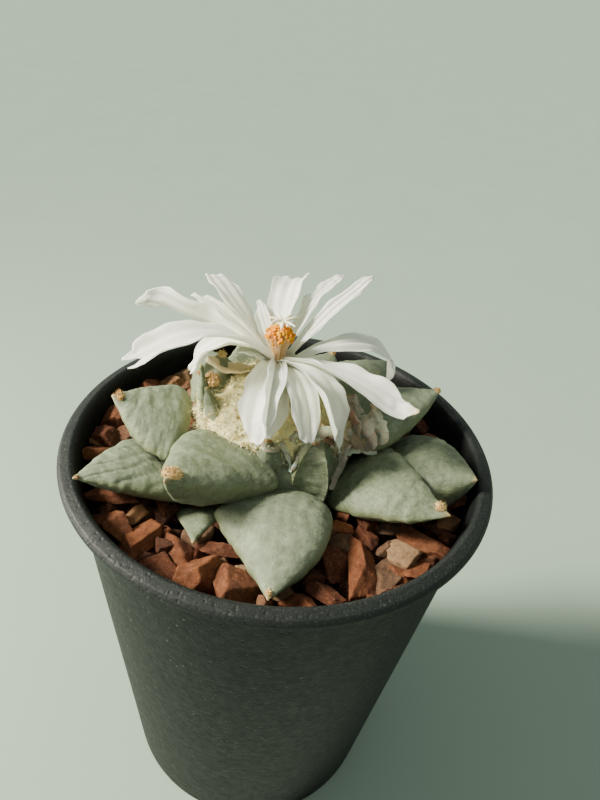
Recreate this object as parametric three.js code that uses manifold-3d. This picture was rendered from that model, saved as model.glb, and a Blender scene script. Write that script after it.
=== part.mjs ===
// A flowering Ariocarpus retusus in a round black nursery pot with a stone top dressing.
// Millimetres, +Z up, origin at the middle of the pot's base. The front of the plant faces -Y.
import * as THREE from 'three';
import { mergeVertices } from 'three/addons/utils/BufferGeometryUtils.js';
import { ConvexGeometry } from 'three/addons/geometries/ConvexGeometry.js';
import Module from 'manifold-3d';

// Driving dimensions
const POT = {
  height: 96.5, rimRadius: 42.5, bandWidth: 2.3, lipHeight: 1.9, neckRadius: 39.9, baseRadius: 31.4,
  wall: 1.1, floor: 1.6, footHeight: 2, footWidth: 3.2, baseCorner: 1.5, sides: 44,
};
const DRAIN = { middleRadius: 4, radius: 3, circle: 19, count: 6 };
const GAP = 0.35;
const SHORTEST_EDGE = 0.01;
const SOIL_TOP = 83;
const BED_TOP = 86.8;
const STONE = {
  size: 3.2, spread: 0.7, lift: 88.1, rise: 1.4, count: 152, reach: 36.4, jitter: 1.2, points: 7,
};
const GOLDEN_ANGLE = 2.39996;
const PLANT_RADIUS = 15;
const CROWN = { x: -2, y: 3 };
const THROAT = new THREE.Vector3(-2.5, 5.5, 111.4);
const TUBE = { bottom: 104, radius: 2.7, mouthRadius: 3.9, cupRadius: 2.3, cupDepth: 1.6 };
const FILAMENTS = { bottom: 110.9, top: 117.1, baseRadius: 1.5, topRadius: 2.7, bore: 0.85, sides: 14 };
const ANTHERS = { rings: [[1.5, 6], [2.6, 11]], size: 0.62, height: 116.9 };
const STYLE = { bottom: 110.9, top: 119.6, radius: 0.5, lobes: 7, lobeLength: 2.7, lobeRadius: 0.32 };
const PETAL_THICKNESS = 0.62;
const WOOL = { x: -2, y: 2.5, z: 99.5, across: 16.4, deep: 14, tall: 10.4, lump: 0.9, sides: 22, rows: 10 };

const COLOURS = {
  pot: { color: 0x35393a, roughness: 0.55, metalness: 0 },
  soil: { color: 0x4b3a2d, roughness: 0.95, metalness: 0 },
  gravel: { color: 0x9a5440, roughness: 0.9, metalness: 0 },
  flesh: { color: 0x8c9a83, roughness: 0.62, metalness: 0 },
  wool: { color: 0xe6d8a6, roughness: 1, metalness: 0 },
  petal: { color: 0xf4f1ec, roughness: 0.5, metalness: 0 },
  stamen: { color: 0xe89c20, roughness: 0.8, metalness: 0 },
  pistil: { color: 0xf2eccb, roughness: 0.6, metalness: 0 },
  withered: { color: 0xb8a184, roughness: 0.9, metalness: 0 },
};

const wasm = await Module();
wasm.setup();

// Tools for closed solids

function seeded(seed) {
  let state = seed;
  return () => {
    state = (state + 0x6d2b79f5) | 0;
    let t = Math.imul(state ^ (state >>> 15), 1 | state);
    t = (t + Math.imul(t ^ (t >>> 7), 61 | t)) ^ t;
    return ((t ^ (t >>> 14)) >>> 0) / 4294967296;
  };
}

// A closed geometry as a solid, without the flat triangles that a lathe leaves on its axis
function solidOf(geometry) {
  const bare = geometry.clone();
  bare.deleteAttribute('normal');
  bare.deleteAttribute('uv');
  const merged = mergeVertices(bare, 1e-4);
  const index = merged.index.array;
  const kept = [];
  for (let i = 0; i < index.length; i += 3) {
    const [a, b, c] = [index[i], index[i + 1], index[i + 2]];
    if (a !== b && b !== c && c !== a) kept.push(a, b, c);
  }
  const mesh = new wasm.Mesh({
    numProp: 3,
    vertProperties: new Float32Array(merged.attributes.position.array),
    triVerts: new Uint32Array(kept),
  });
  return new wasm.Manifold(mesh);
}

const unite = (solids) => wasm.Manifold.union(solids);

function largestPiece(solid) {
  return solid.decompose().reduce((a, b) => (b.volume() > a.volume() ? b : a));
}

function namedMesh(name, solid, look) {
  const { vertProperties, triVerts } = solid.getMesh();
  const geometry = new THREE.BufferGeometry();
  geometry.setAttribute('position', new THREE.BufferAttribute(vertProperties, 3));
  geometry.setIndex(new THREE.BufferAttribute(triVerts, 1));
  geometry.computeVertexNormals();
  const mesh = new THREE.Mesh(geometry, new THREE.MeshStandardMaterial(look));
  mesh.name = name;
  return mesh;
}

// A solid of revolution about +Z from [radius, height] points that run up the outside
function turned(points, sides) {
  const profile = points.map(([r, z]) => new THREE.Vector2(r, z));
  if (points[0][0] > 0) profile.push(profile[0].clone());
  return new THREE.LatheGeometry(profile, sides).rotateX(Math.PI / 2);
}

// A closed skin over rings of points, each ring with the same number, closed by a fan at both ends
function skinned(rings) {
  const count = rings[0].length;
  const middles = [rings[0], rings[rings.length - 1]].map((ring) =>
    ring.reduce((sum, p) => sum.add(p), new THREE.Vector3()).divideScalar(count));
  const points = [...rings.flat(), ...middles];
  const index = [];
  for (let row = 0; row < rings.length - 1; row += 1) {
    for (let i = 0; i < count; i += 1) {
      const a = row * count + i;
      const b = row * count + ((i + 1) % count);
      index.push(a, b, b + count, a, b + count, a + count);
    }
  }
  const last = (rings.length - 1) * count;
  for (let i = 0; i < count; i += 1) {
    const next = (i + 1) % count;
    index.push(points.length - 2, next, i);
    index.push(points.length - 1, last + i, last + next);
  }
  const geometry = new THREE.BufferGeometry().setFromPoints(points);
  geometry.setIndex(index);
  return geometry;
}

const radians = THREE.MathUtils.degToRad;
const clamp01 = (x) => THREE.MathUtils.clamp(x, 0, 1);

// Pot: a tapered wall with a rolled lip, a foot ring and drain holes

const innerRadius = (z) => {
  const slope = (POT.neckRadius - POT.baseRadius) / (POT.height - POT.lipHeight - POT.baseCorner);
  return POT.baseRadius + slope * (z - POT.baseCorner) - POT.wall;
};

function potProfile() {
  const { height, rimRadius, bandWidth, lipHeight, neckRadius, baseRadius, footHeight, footWidth } = POT;
  const lipBottom = height - 0.5 - lipHeight;
  const floorTop = footHeight + POT.floor;
  const footOuter = baseRadius - POT.baseCorner;
  return [
    [0, footHeight], [footOuter - footWidth - 0.6, footHeight], [footOuter - footWidth, 0], [footOuter, 0],
    [baseRadius - 0.4, 0.5], [baseRadius, POT.baseCorner], [neckRadius, lipBottom - 0.7],
    [rimRadius - 0.5, lipBottom], [rimRadius, lipBottom + 0.6], [rimRadius, height - 1.2],
    [rimRadius - 0.6, height - 0.5], [rimRadius - bandWidth, height],
    [innerRadius(height - 2.2), height - 2.2], [innerRadius(floorTop + 1.2), floorTop + 1.2],
    [innerRadius(floorTop + 1.2) - 1.2, floorTop], [0, floorTop],
  ];
}

function pot() {
  const drill = (radius, x, y) =>
    solidOf(new THREE.CylinderGeometry(radius, radius, 12, 12).rotateX(Math.PI / 2).translate(x, y, 2));
  const holes = [drill(DRAIN.middleRadius, 0, 0)];
  for (let i = 0; i < DRAIN.count; i += 1) {
    const angle = (i / DRAIN.count) * 2 * Math.PI;
    holes.push(drill(DRAIN.radius, DRAIN.circle * Math.cos(angle), DRAIN.circle * Math.sin(angle)));
  }
  return solidOf(turned(potProfile(), POT.sides)).subtract(unite(holes));
}

// Body of the plant: a turnip-shaped stem with a taproot, carrying tubercles in a rosette

const STEM = [
  [0, 40], [2, 43], [5, 54], [8.5, 68], [13, 79], [17, 86], [17.5, 92], [15.5, 97], [11, 101],
  [5, 103.4], [0, 104],
];

function stem(grow) {
  const points = STEM.map(([r, z]) => [r === 0 ? 0 : r + grow, z]);
  points[0][1] -= grow;
  points[points.length - 1][1] += grow;
  return solidOf(turned(points, 24).translate(CROWN.x, CROWN.y, 0));
}

// Azimuth 0 is +X and 90 is +Y. Reach is from the crown's axis to the tip, left and right are the half
// widths as seen from the crown, top and keel the heights above and below the middle line.
const USUAL = {
  root: 13, rootHeight: 94, left: 10, right: 10, top: 4, keel: 6.5,
  swing: 0, lean: 0, arch: 0.5, leftTaper: 1.5, rightTaper: 1.5, shoulder: 0.3,
};
const TUBERCLES = [
  { azimuth: -86, reach: 39.8, tip: 93.4, root: 16, rootHeight: 91.6, left: 9.5, right: 12, top: 3.2,
    keel: 8, swing: 9, lean: 8.5, arch: -0.6, leftTaper: 2.3, rightTaper: 1.1, shoulder: 0.24 },
  { azimuth: -119, reach: 32.4, tip: 105.3, root: 12.5, rootHeight: 98, left: 13.8, right: 7, top: 3.8,
    keel: 8, swing: -15, lean: -5.5, arch: 1.8, leftTaper: 1, shoulder: 0.2 },
  { azimuth: -173, reach: 31.7, tip: 102.6, root: 17, rootHeight: 97.8, left: 12.7, right: 8.3,
    top: 3.2, keel: 6, lean: -3, leftTaper: 1.7, shoulder: 0.2 },
  { azimuth: -145, reach: 40.1, tip: 98.4, root: 19.8, rootHeight: 90, left: 8.8, right: 10.7, top: 3,
    keel: 4.6, swing: -3, lean: 4.5, arch: -1.2, leftTaper: 1.4, rightTaper: 1.2 },
  { azimuth: -34, reach: 39.7, tip: 98.6, root: 14, rootHeight: 87.5, left: 11.2, right: 6.6, top: 3.2,
    keel: 5.2, swing: 5.5, lean: 14, arch: -2.6, leftTaper: 1, rightTaper: 3.2, shoulder: 0.38 },
  { azimuth: -17.5, reach: 41.3, tip: 99, root: 20.3, rootHeight: 88.4, left: 13.2, right: 8.1, top: 5,
    keel: 8.7, swing: 6, lean: 7, leftTaper: 2, shoulder: 0.38 },
  { azimuth: 14, reach: 35, tip: 104.3, root: 11.5, rootHeight: 96.8, left: 7.9, right: 10.5, top: 4.4,
    keel: 6, swing: -6.5, lean: -2.7, arch: 0.7, leftTaper: 1.4 },
  { azimuth: 42, reach: 34, tip: 101.5, root: 11, rootHeight: 97.5, left: 9.5, right: 9.5, top: 4.2,
    keel: 6 },
  { azimuth: -57, reach: 16, tip: 106.6, root: 15.4, rootHeight: 89.5, left: 6.6, right: 4.4, top: 4.4,
    keel: 4.8, lean: 6, arch: -0.2, leftTaper: 1.4, rightTaper: 1.8, shoulder: 0.4 },
  { azimuth: -111, reach: 30.8, tip: 92, root: 16.6, rootHeight: 86.4, left: 2.6, right: 6.9, top: 1.3,
    keel: 2.6, swing: -9, lean: 11.5, arch: -1, rightTaper: 1.3 },
  { azimuth: -172, reach: 14.8, tip: 110.9, root: 12.5, rootHeight: 97, left: 2.7, right: 1.4, top: 1.3,
    keel: 1.6, swing: 7, arch: -0.1, leftTaper: 1.3, rightTaper: 1.3 },
  { azimuth: -155, reach: 14.2, tip: 108.6, root: 11.6, rootHeight: 97, left: 3.6, right: 3.6, top: 1.4,
    keel: 2, arch: -0.3 },
  { azimuth: 172, reach: 11.3, tip: 111.9, root: 10.3, rootHeight: 102, left: 5, right: 5, top: 3,
    keel: 4.3 },
  { azimuth: -92, reach: 13.5, tip: 103.6, root: 10, rootHeight: 96, left: 5, right: 5, top: 3,
    keel: 4 },
  { azimuth: 97, reach: 31, tip: 100, root: 13, rootHeight: 93 },
  { azimuth: 62, reach: 24.5, tip: 103, root: 12, rootHeight: 97, left: 7, right: 7, top: 3.4, keel: 5 },
  { azimuth: 150, reach: 20, tip: 101, root: 9, rootHeight: 96, left: 7.5, right: 7.5, top: 3.4,
    keel: 5 },
  { azimuth: 78, reach: 33, tip: 96.5, root: 16, rootHeight: 89 },
  { azimuth: 125, reach: 33, tip: 96.5, root: 15, rootHeight: 90, left: 8.5, right: 9 },
  { azimuth: 118, reach: 19, tip: 106, root: 11, rootHeight: 98, left: 7, right: 7, top: 3.4, keel: 5 },
  { azimuth: 20, reach: 17.5, tip: 107, root: 13, rootHeight: 98, left: 6, right: 6, top: 3, keel: 4.5 },
];

// Full at the shoulder, then falling to nothing at the tip
function fullness(s, shoulder, taper) {
  if (s < shoulder) return 0.6 + 0.4 * Math.sin((s / shoulder) * (Math.PI / 2));
  return 1 - ((s - shoulder) / (1 - shoulder)) ** taper;
}

function tubercle(shape, grow) {
  const t = { ...USUAL, ...shape };
  const place = (angle, radius, z) =>
    new THREE.Vector3(CROWN.x + radius * Math.cos(angle), CROWN.y + radius * Math.sin(angle), z);
  const tip = place(radians(t.azimuth), t.reach, t.tip);
  const root = place(radians(t.azimuth + t.swing), t.root, t.rootHeight);
  const along = tip.clone().sub(root);
  const length = along.length();
  along.normalize();
  const side = new THREE.Vector3(0, 0, 1).cross(along).normalize();
  const up = along.clone().cross(side);
  side.applyAxisAngle(along, radians(t.lean));
  up.applyAxisAngle(along, radians(t.lean));
  const rows = length > 15 ? 8 : 6;
  const sides = length > 15 ? 12 : 8;
  const rings = [];
  for (let row = 0; row < rows; row += 1) {
    const s = (row / (rows - 1)) ** 0.9;
    const reach = -grow + s * (length + 2.2 * grow);
    const middle = root.clone().addScaledVector(along, reach);
    middle.addScaledVector(up, -t.arch * 4 * s * (1 - s));
    const rise = fullness(s, t.shoulder, 2);
    const ring = [];
    for (let i = 0; i < sides; i += 1) {
      const angle = (i / sides) * 2 * Math.PI;
      const [c, d] = [Math.cos(angle), Math.sin(angle)];
      const power = d >= 0 ? 0.91 : 1.33;
      const half = c >= 0
        ? t.left * fullness(s, t.shoulder, t.leftTaper)
        : t.right * fullness(s, t.shoulder, t.rightTaper);
      const high = (d >= 0 ? t.top : t.keel) * rise;
      const across = Math.sign(c) * Math.abs(c) ** power * (Math.max(half, 0.25) + grow);
      const lift = Math.sign(d) * Math.abs(d) ** power * (Math.max(high, 0.25) + grow);
      ring.push(middle.clone().addScaledVector(side, across).addScaledVector(up, lift));
    }
    rings.push(ring);
  }
  return solidOf(skinned(rings));
}

const cactusBody = (grow) => unite([stem(grow), ...TUBERCLES.map((shape) => tubercle(shape, grow))]);

// Soil below, and the loose stones that dress it: the stones' middles lie along a sunflower's spiral

function soil() {
  const floorTop = POT.footHeight + POT.floor;
  const filled = solidOf(turned([
    [0, floorTop + GAP], [innerRadius(floorTop + 2) - 1.6, floorTop + GAP],
    [innerRadius(floorTop + 3) - GAP, floorTop + 3], [innerRadius(SOIL_TOP) - GAP, SOIL_TOP], [0, SOIL_TOP],
  ], 40));
  return filled.subtract(cactusBody(GAP));
}

function stoneAt(x, y, z, size, random) {
  const points = [];
  const stretch = [1 + 0.5 * random(), 1, 0.62 + 0.25 * random()];
  for (let i = 0; i < STONE.points; i += 1) {
    const height = 1 - (2 * i + 1) / STONE.points;
    const angle = i * GOLDEN_ANGLE + random() * 0.9;
    const flat = Math.sqrt(1 - height * height);
    const radius = size * (0.82 + 0.3 * random());
    points.push(new THREE.Vector3(
      radius * stretch[0] * flat * Math.cos(angle),
      radius * stretch[1] * flat * Math.sin(angle),
      radius * stretch[2] * height,
    ));
  }
  const turn = new THREE.Euler((random() - 0.5) * 1.1, (random() - 0.5) * 1.1, random() * 2 * Math.PI);
  const geometry = new ConvexGeometry(points.map((p) => p.applyEuler(turn)));
  return solidOf(geometry.translate(x, y, z));
}

function gravel() {
  const random = seeded(24);
  const bed = solidOf(turned([
    [12, SOIL_TOP + GAP], [innerRadius(SOIL_TOP) - GAP, SOIL_TOP + GAP],
    [innerRadius(BED_TOP) - GAP, BED_TOP], [12, BED_TOP],
  ], 40));
  const inside = solidOf(turned([
    [0, SOIL_TOP], [innerRadius(SOIL_TOP) - GAP, SOIL_TOP], [innerRadius(96) - GAP, 96], [0, 96],
  ], 40));
  const stones = [];
  for (let i = 0; i < STONE.count; i += 1) {
    const radius = STONE.reach * Math.sqrt((i + 0.5) / STONE.count);
    const x = radius * Math.cos(i * GOLDEN_ANGLE) + (random() - 0.5) * STONE.jitter;
    const y = radius * Math.sin(i * GOLDEN_ANGLE) + (random() - 0.5) * STONE.jitter;
    const size = STONE.size + STONE.spread * (random() - 0.5) * 2;
    const clear = Math.hypot(x - CROWN.x, y - CROWN.y) > PLANT_RADIUS;
    if (clear) stones.push(stoneAt(x, y, STONE.lift + random() * STONE.rise, size, random));
  }
  const filled = unite([bed, ...stones]).intersect(inside).subtract(cactusBody(GAP));
  return largestPiece(filled).simplify(SHORTEST_EDGE);
}

// Flower: white tepals on a short tube, each a thin curved blade

// Rise and fall are the blade's slope in degrees at its root and tip, turn its bend to the side.
const TEPAL = { turn: 0, twist: 0, untwist: 0, cup: 0.2, curl: 0, blunt: 2.5, root: 2, drop: 0 };
const TEPALS = [
  { azimuth: 165, turn: -2, rise: 25, fall: -3, length: 29.7, half: 4.1, twist: 39, untwist: 25,
    cup: 0.3, curl: -38 },
  { azimuth: 204, turn: 4, rise: 53, fall: -45, length: 30, half: 4.7, twist: 27, untwist: -31,
    cup: 0.3, curl: 24, blunt: 1.8 },
  { azimuth: 145, turn: -7, rise: 23, fall: -3, length: 23, half: 3.3, twist: 36, untwist: -25,
    curl: -17 },
  { azimuth: 140, turn: -24, rise: 39, fall: -2, length: 24.9, half: 3.6, twist: 41, untwist: -32,
    cup: 0.1, curl: -42, blunt: 3, root: 2.9 },
  { azimuth: 119, turn: -6, rise: 39, fall: 31, length: 11.6, half: 1.5, twist: -32, untwist: -18,
    cup: 0.3 },
  { azimuth: 91, turn: -10, rise: 60, fall: -30, length: 25, half: 3.5, twist: -50, untwist: 45,
    cup: 0.3, blunt: 3 },
  { azimuth: 62, turn: -3, rise: 51, fall: -3, length: 24.7, half: 2.3, twist: -40, untwist: 28 },
  { azimuth: 37, turn: 4, rise: 47, fall: 21, length: 23.6, half: 1.8, cup: 0.1, curl: 4, blunt: 3.5,
    root: 2.5 },
  { azimuth: 14, turn: 34, rise: 34, fall: -73, length: 32, half: 3, twist: -13, untwist: 47, cup: -0.1,
    curl: -55, root: 3.5 },
  { azimuth: -22, turn: -9, rise: 17, fall: -33, length: 28, half: 3.7, twist: -38, untwist: 62,
    cup: 0.3, curl: 52, blunt: 1.8 },
  { azimuth: -44, turn: -12, rise: 28, fall: -86, length: 23.4, half: 4.3, twist: -7, untwist: -34,
    cup: 0.4, curl: 28, blunt: 1.6 },
  { azimuth: -62, turn: -16, rise: 24, fall: -62, length: 20, half: 3.1, twist: -22, untwist: 12,
    curl: 14 },
  { azimuth: -97, turn: 0, rise: 24, fall: -72, length: 19.4, half: 2.4, twist: 8, untwist: 32,
    cup: 0.3, curl: -8 },
  { azimuth: -87, turn: -8, rise: 17, fall: -50, length: 18.6, half: 3, twist: -36, untwist: -22,
    cup: 0.3, curl: -6 },
  { azimuth: 176, turn: 22, rise: 41, fall: -75, length: 19.2, half: 2.8, twist: 2, untwist: -4,
    cup: 0.3, blunt: 3, root: 1.5 },
  { azimuth: 190, turn: -7, rise: 45, fall: -23, length: 6.5, half: 2.6, twist: -10, untwist: 17,
    cup: 0.3 },
];

function bladeDirection(t, s) {
  const heading = radians(t.azimuth + t.turn * s);
  const slope = radians(t.rise + (t.fall - t.rise) * s + t.curl * clamp01((s - 0.7) / 0.3) ** 2);
  const along = new THREE.Vector3(
    Math.cos(heading) * Math.cos(slope), Math.sin(heading) * Math.cos(slope), Math.sin(slope));
  return { along, side: new THREE.Vector3(-Math.sin(heading), Math.cos(heading), 0) };
}

function blade(t, start, thickness, rows, columns) {
  const middle = start.clone();
  const faces = [[], []];
  for (let row = 0; row <= rows; row += 1) {
    const s = row / rows;
    if (row > 0) middle.addScaledVector(bladeDirection(t, s - 0.5 / rows).along, t.length / rows);
    const { along, side } = bladeDirection(t, s);
    const up = along.clone().cross(side);
    side.applyAxisAngle(along, radians(t.twist + t.untwist * s));
    up.applyAxisAngle(along, radians(t.twist + t.untwist * s));
    const half = Math.max(t.half * bladeWidth(s, t.blunt), 0.45) + (thickness - PETAL_THICKNESS) / 2;
    for (let column = 0; column <= columns; column += 1) {
      const across = (column / columns) * 2 - 1;
      const point = middle.clone().addScaledVector(side, across * half);
      point.addScaledVector(up, t.cup * half * across ** 2);
      faces[0].push(point.clone().addScaledVector(up, thickness / 2));
      faces[1].push(point.clone().addScaledVector(up, -thickness / 2));
    }
  }
  return solidOf(plate(faces, rows, columns));
}

function tepal(shape, thickness) {
  const t = { ...TEPAL, ...shape };
  const spread = radians(t.azimuth);
  const root = new THREE.Vector3(t.root * Math.cos(spread), t.root * Math.sin(spread), -t.drop);
  return blade(t, root.add(THROAT), thickness, 8, 3);
}

function bladeWidth(s, blunt) {
  const widest = 0.55;
  if (s < widest) return 0.38 + 0.62 * Math.sin((s / widest) * (Math.PI / 2));
  return Math.sqrt(Math.max(0, 1 - ((s - widest) / (1 - widest)) ** blunt));
}

// A closed blade between two faces of the same grid, split into triangles alike on both
function plate([upper, lower], rows, columns) {
  const wide = columns + 1;
  const points = [...upper, ...lower];
  const below = upper.length;
  const index = [];
  for (let row = 0; row < rows; row += 1) {
    for (let column = 0; column < columns; column += 1) {
      const a = row * wide + column;
      const [b, c, d] = [a + 1, a + wide + 1, a + wide];
      index.push(a, c, b, a, d, c);
      index.push(a + below, b + below, c + below, a + below, c + below, d + below);
    }
  }
  const edge = [];
  for (let column = 0; column < columns; column += 1) edge.push(column);
  for (let row = 0; row < rows; row += 1) edge.push(row * wide + columns);
  for (let column = columns; column > 0; column -= 1) edge.push(rows * wide + column);
  for (let row = rows; row > 0; row -= 1) edge.push(row * wide);
  edge.forEach((a, i) => {
    const b = edge[(i + 1) % edge.length];
    index.push(a, b, b + below, a, b + below, a + below);
  });
  const geometry = new THREE.BufferGeometry().setFromPoints(points);
  geometry.setIndex(index);
  return geometry;
}

function tube(grow) {
  const { bottom, radius, mouthRadius, cupRadius, cupDepth } = TUBE;
  const top = THROAT.z + 0.6;
  const points = [
    [0, bottom - grow], [radius - 0.6 + grow, bottom - grow], [radius + grow, bottom + 1.5],
    [radius + 0.3 + grow, THROAT.z - 3], [mouthRadius + grow, top],
  ];
  if (grow === 0) points.push([cupRadius, top], [cupRadius - 0.7, top - cupDepth], [0, top - cupDepth]);
  else points.push([0, top]);
  return solidOf(turned(points, 16).translate(THROAT.x, THROAT.y, 0));
}

const flowerColumn = (points, sides) => solidOf(turned(points, sides).translate(THROAT.x, THROAT.y, 0));

function bloom() {
  const { bottom, top, baseRadius, topRadius, sides } = FILAMENTS;
  const room = flowerColumn([
    [0, bottom - GAP], [baseRadius + GAP, bottom - GAP], [topRadius + 1.4 + GAP, top + 2], [0, top + 2],
  ], sides);
  const tepals = TEPALS.map((shape) => tepal(shape, PETAL_THICKNESS));
  return largestPiece(unite([tube(0), ...tepals]).subtract(room));
}

function stamens() {
  const { bottom, top, baseRadius, topRadius, bore, sides } = FILAMENTS;
  const random = seeded(5);
  const bundle = flowerColumn([
    [0, bottom], [baseRadius, bottom], [baseRadius + 0.2, bottom + 3], [topRadius, top - 0.6],
    [topRadius - 0.5, top], [0, top + 0.2],
  ], sides);
  const anthers = ANTHERS.rings.flatMap(([radius, count]) => Array.from({ length: count }, (_, i) => {
    const angle = ((i + random() * 0.5) / count) * 2 * Math.PI;
    const size = ANTHERS.size * (0.85 + 0.3 * random());
    return solidOf(new THREE.IcosahedronGeometry(size, 0).translate(
      THROAT.x + radius * Math.cos(angle), THROAT.y + radius * Math.sin(angle),
      ANTHERS.height + (2.9 - radius) * 0.45 + random() * 0.4));
  }));
  const hole = flowerColumn([[0, bottom - 1], [bore, bottom - 1], [bore, top + 4], [0, top + 4]], 10);
  return largestPiece(unite([bundle, ...anthers]).subtract(hole));
}

function pistil() {
  const { bottom, top, radius, lobes, lobeLength, lobeRadius } = STYLE;
  const parts = [flowerColumn([[0, bottom], [radius, bottom], [radius, top], [0, top + 0.3]], 8)];
  for (let i = 0; i < lobes; i += 1) {
    const angle = ((i + 0.3) / lobes) * 2 * Math.PI;
    const at = (out, z) =>
      new THREE.Vector3(THROAT.x + out * Math.cos(angle), THROAT.y + out * Math.sin(angle), z);
    const path = new THREE.CatmullRomCurve3([
      at(0, top - 0.3), at(lobeLength * 0.5, top + 0.9), at(lobeLength, top + 0.5)]);
    parts.push(solidOf(rod(path, lobeRadius, 3, 4)));
  }
  return largestPiece(unite(parts));
}

function rod(path, radius, steps, sides) {
  const round = new THREE.Shape(Array.from({ length: sides }, (_, i) => {
    const angle = (i / sides) * 2 * Math.PI;
    return new THREE.Vector2(radius * Math.cos(angle), radius * Math.sin(angle));
  }));
  return new THREE.ExtrudeGeometry(round, { steps, extrudePath: path, bevelEnabled: false });
}

// Wool of the crown: a lumpy felt that fills the rosette's heart and holds the flower's tube

function woolMound() {
  const random = seeded(9);
  const lumps = Array.from({ length: 26 }, () => ({
    direction: new THREE.Vector3(random() - 0.5, random() - 0.5, random() * 0.6).normalize(),
    height: WOOL.lump * (random() * 1.4 - 0.4),
  }));
  const rings = [];
  for (let row = 0; row <= WOOL.rows; row += 1) {
    const polar = (row / WOOL.rows) * (Math.PI - 0.16) - Math.PI / 2 + 0.08;
    const ring = [];
    for (let i = 0; i < WOOL.sides; i += 1) {
      const angle = (i / WOOL.sides) * 2 * Math.PI;
      const direction = new THREE.Vector3(
        Math.cos(polar) * Math.cos(angle), Math.cos(polar) * Math.sin(angle), Math.sin(polar));
      const swell = lumps.reduce((sum, lump) =>
        sum + lump.height * Math.exp(-9 * (1 - lump.direction.dot(direction))), 0);
      ring.push(new THREE.Vector3(
        WOOL.x + direction.x * (WOOL.across + swell),
        WOOL.y + direction.y * (WOOL.deep + swell),
        WOOL.z + direction.z * (WOOL.tall + swell),
      ));
    }
    rings.push(ring);
  }
  return solidOf(skinned(rings));
}

function crownWool(inTheWay) {
  return largestPiece(woolMound().subtract(unite([cactusBody(GAP), tube(GAP), ...inTheWay])));
}

// Withered remains of earlier flowers: dry papery straps that lie on the wool and between tubercles
const SCRAPS = {
  withered_flower_right: { x: 17, y: -0.5, z: 105.2, azimuth: -50, turn: -60, rise: -35, fall: -55,
    length: 13, half: 2.2, twist: 35 },
  withered_flower_front: { x: 12.4, y: -9.5, z: 103, azimuth: -100, rise: -30, fall: -60, length: 11,
    half: 1.5, twist: 20 },
  withered_shred: { x: 2.2, y: -11.2, z: 103, azimuth: -100, rise: -35, fall: -60, length: 6, half: 0.9,
    twist: -20 },
};

const scrap = (shape, thickness) =>
  blade({ ...TEPAL, ...shape }, new THREE.Vector3(shape.x, shape.y, shape.z), thickness, 7, 2);

const THICK = PETAL_THICKNESS + 2 * GAP;
const thickTepals = unite(TEPALS.map((shape) => tepal(shape, THICK)));
const thickBody = cactusBody(GAP);

const plant = new THREE.Group();
plant.name = 'potted_ariocarpus';
plant.add(
  namedMesh('pot', pot(), COLOURS.pot),
  namedMesh('soil', soil(), COLOURS.soil),
  namedMesh('gravel', gravel(), COLOURS.gravel),
  namedMesh('cactus_body', cactusBody(0), COLOURS.flesh),
  namedMesh('bloom', bloom(), COLOURS.petal),
  namedMesh('stamens', stamens(), COLOURS.stamen),
  namedMesh('pistil', pistil(), COLOURS.pistil),
);
const thickScraps = [];
for (const [name, shape] of Object.entries(SCRAPS)) {
  const whole = scrap(shape, PETAL_THICKNESS).subtract(unite([thickBody, thickTepals]));
  plant.add(namedMesh(name, largestPiece(whole), COLOURS.withered));
  thickScraps.push(scrap(shape, THICK));
}
plant.add(namedMesh('crown_wool', crownWool([thickTepals, ...thickScraps]), COLOURS.wool));

export default plant;
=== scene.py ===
"""A flowering Ariocarpus retusus in a round black nursery pot, dressed with red stone.

Design values are millimetres and degrees, and a pixel is one of the 600 x 800 photograph's.
Meshes are worked out in millimetres and handed to Blender in metres.
"""

import itertools
import math

import bmesh
import bpy
import numpy as np
from mathutils import Matrix, Vector
from mathutils.bvhtree import BVHTree


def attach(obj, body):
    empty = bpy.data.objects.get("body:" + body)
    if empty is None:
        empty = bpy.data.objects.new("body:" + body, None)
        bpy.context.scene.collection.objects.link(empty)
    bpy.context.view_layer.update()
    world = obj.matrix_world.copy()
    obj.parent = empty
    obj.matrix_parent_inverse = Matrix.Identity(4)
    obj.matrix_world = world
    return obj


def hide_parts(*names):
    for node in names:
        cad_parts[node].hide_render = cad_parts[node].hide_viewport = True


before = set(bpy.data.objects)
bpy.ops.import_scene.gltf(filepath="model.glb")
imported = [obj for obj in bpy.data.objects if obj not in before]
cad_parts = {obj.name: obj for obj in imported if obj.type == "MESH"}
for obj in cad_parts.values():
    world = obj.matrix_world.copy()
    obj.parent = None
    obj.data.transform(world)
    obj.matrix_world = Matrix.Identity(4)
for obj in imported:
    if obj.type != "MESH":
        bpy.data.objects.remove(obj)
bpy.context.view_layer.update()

MM = 0.001

# Camera: where the photograph was taken from
FOCAL_PX = 620
FRAME_PX = (600, 800)
SENSOR = 36
NEAREST_M = 0.005
EYE = np.array([0, -96.87, 174.98])
PITCH, YAW, ROLL = 0.6188, 0.0278, 0.1301


def camera_axes():
    """The camera's right, up and forward directions"""
    level = np.array([math.cos(YAW), -math.sin(YAW), 0])
    ahead = np.array([math.sin(YAW) * math.cos(PITCH), math.cos(YAW) * math.cos(PITCH), -math.sin(PITCH)])
    upright = np.cross(level, ahead)
    right = level * math.cos(ROLL) + upright * math.sin(ROLL)
    return right, upright * math.cos(ROLL) - level * math.sin(ROLL), ahead


RIGHT, UP, AHEAD = camera_axes()


def sight(px):
    """The unit direction from the camera through a pixel"""
    across, down = px[0] - FRAME_PX[0] / 2, px[1] - FRAME_PX[1] / 2
    line = AHEAD + RIGHT * across / FOCAL_PX - UP * down / FOCAL_PX
    return line / np.linalg.norm(line)


def at_height(px, z):
    """The point at height z that a pixel shows"""
    line = sight(px)
    return EYE + line * (z - EYE[2]) / line[2]


def put_in_scene(name, data):
    made = bpy.data.objects.new(name, data)
    bpy.context.scene.collection.objects.link(made)
    return made


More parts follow.
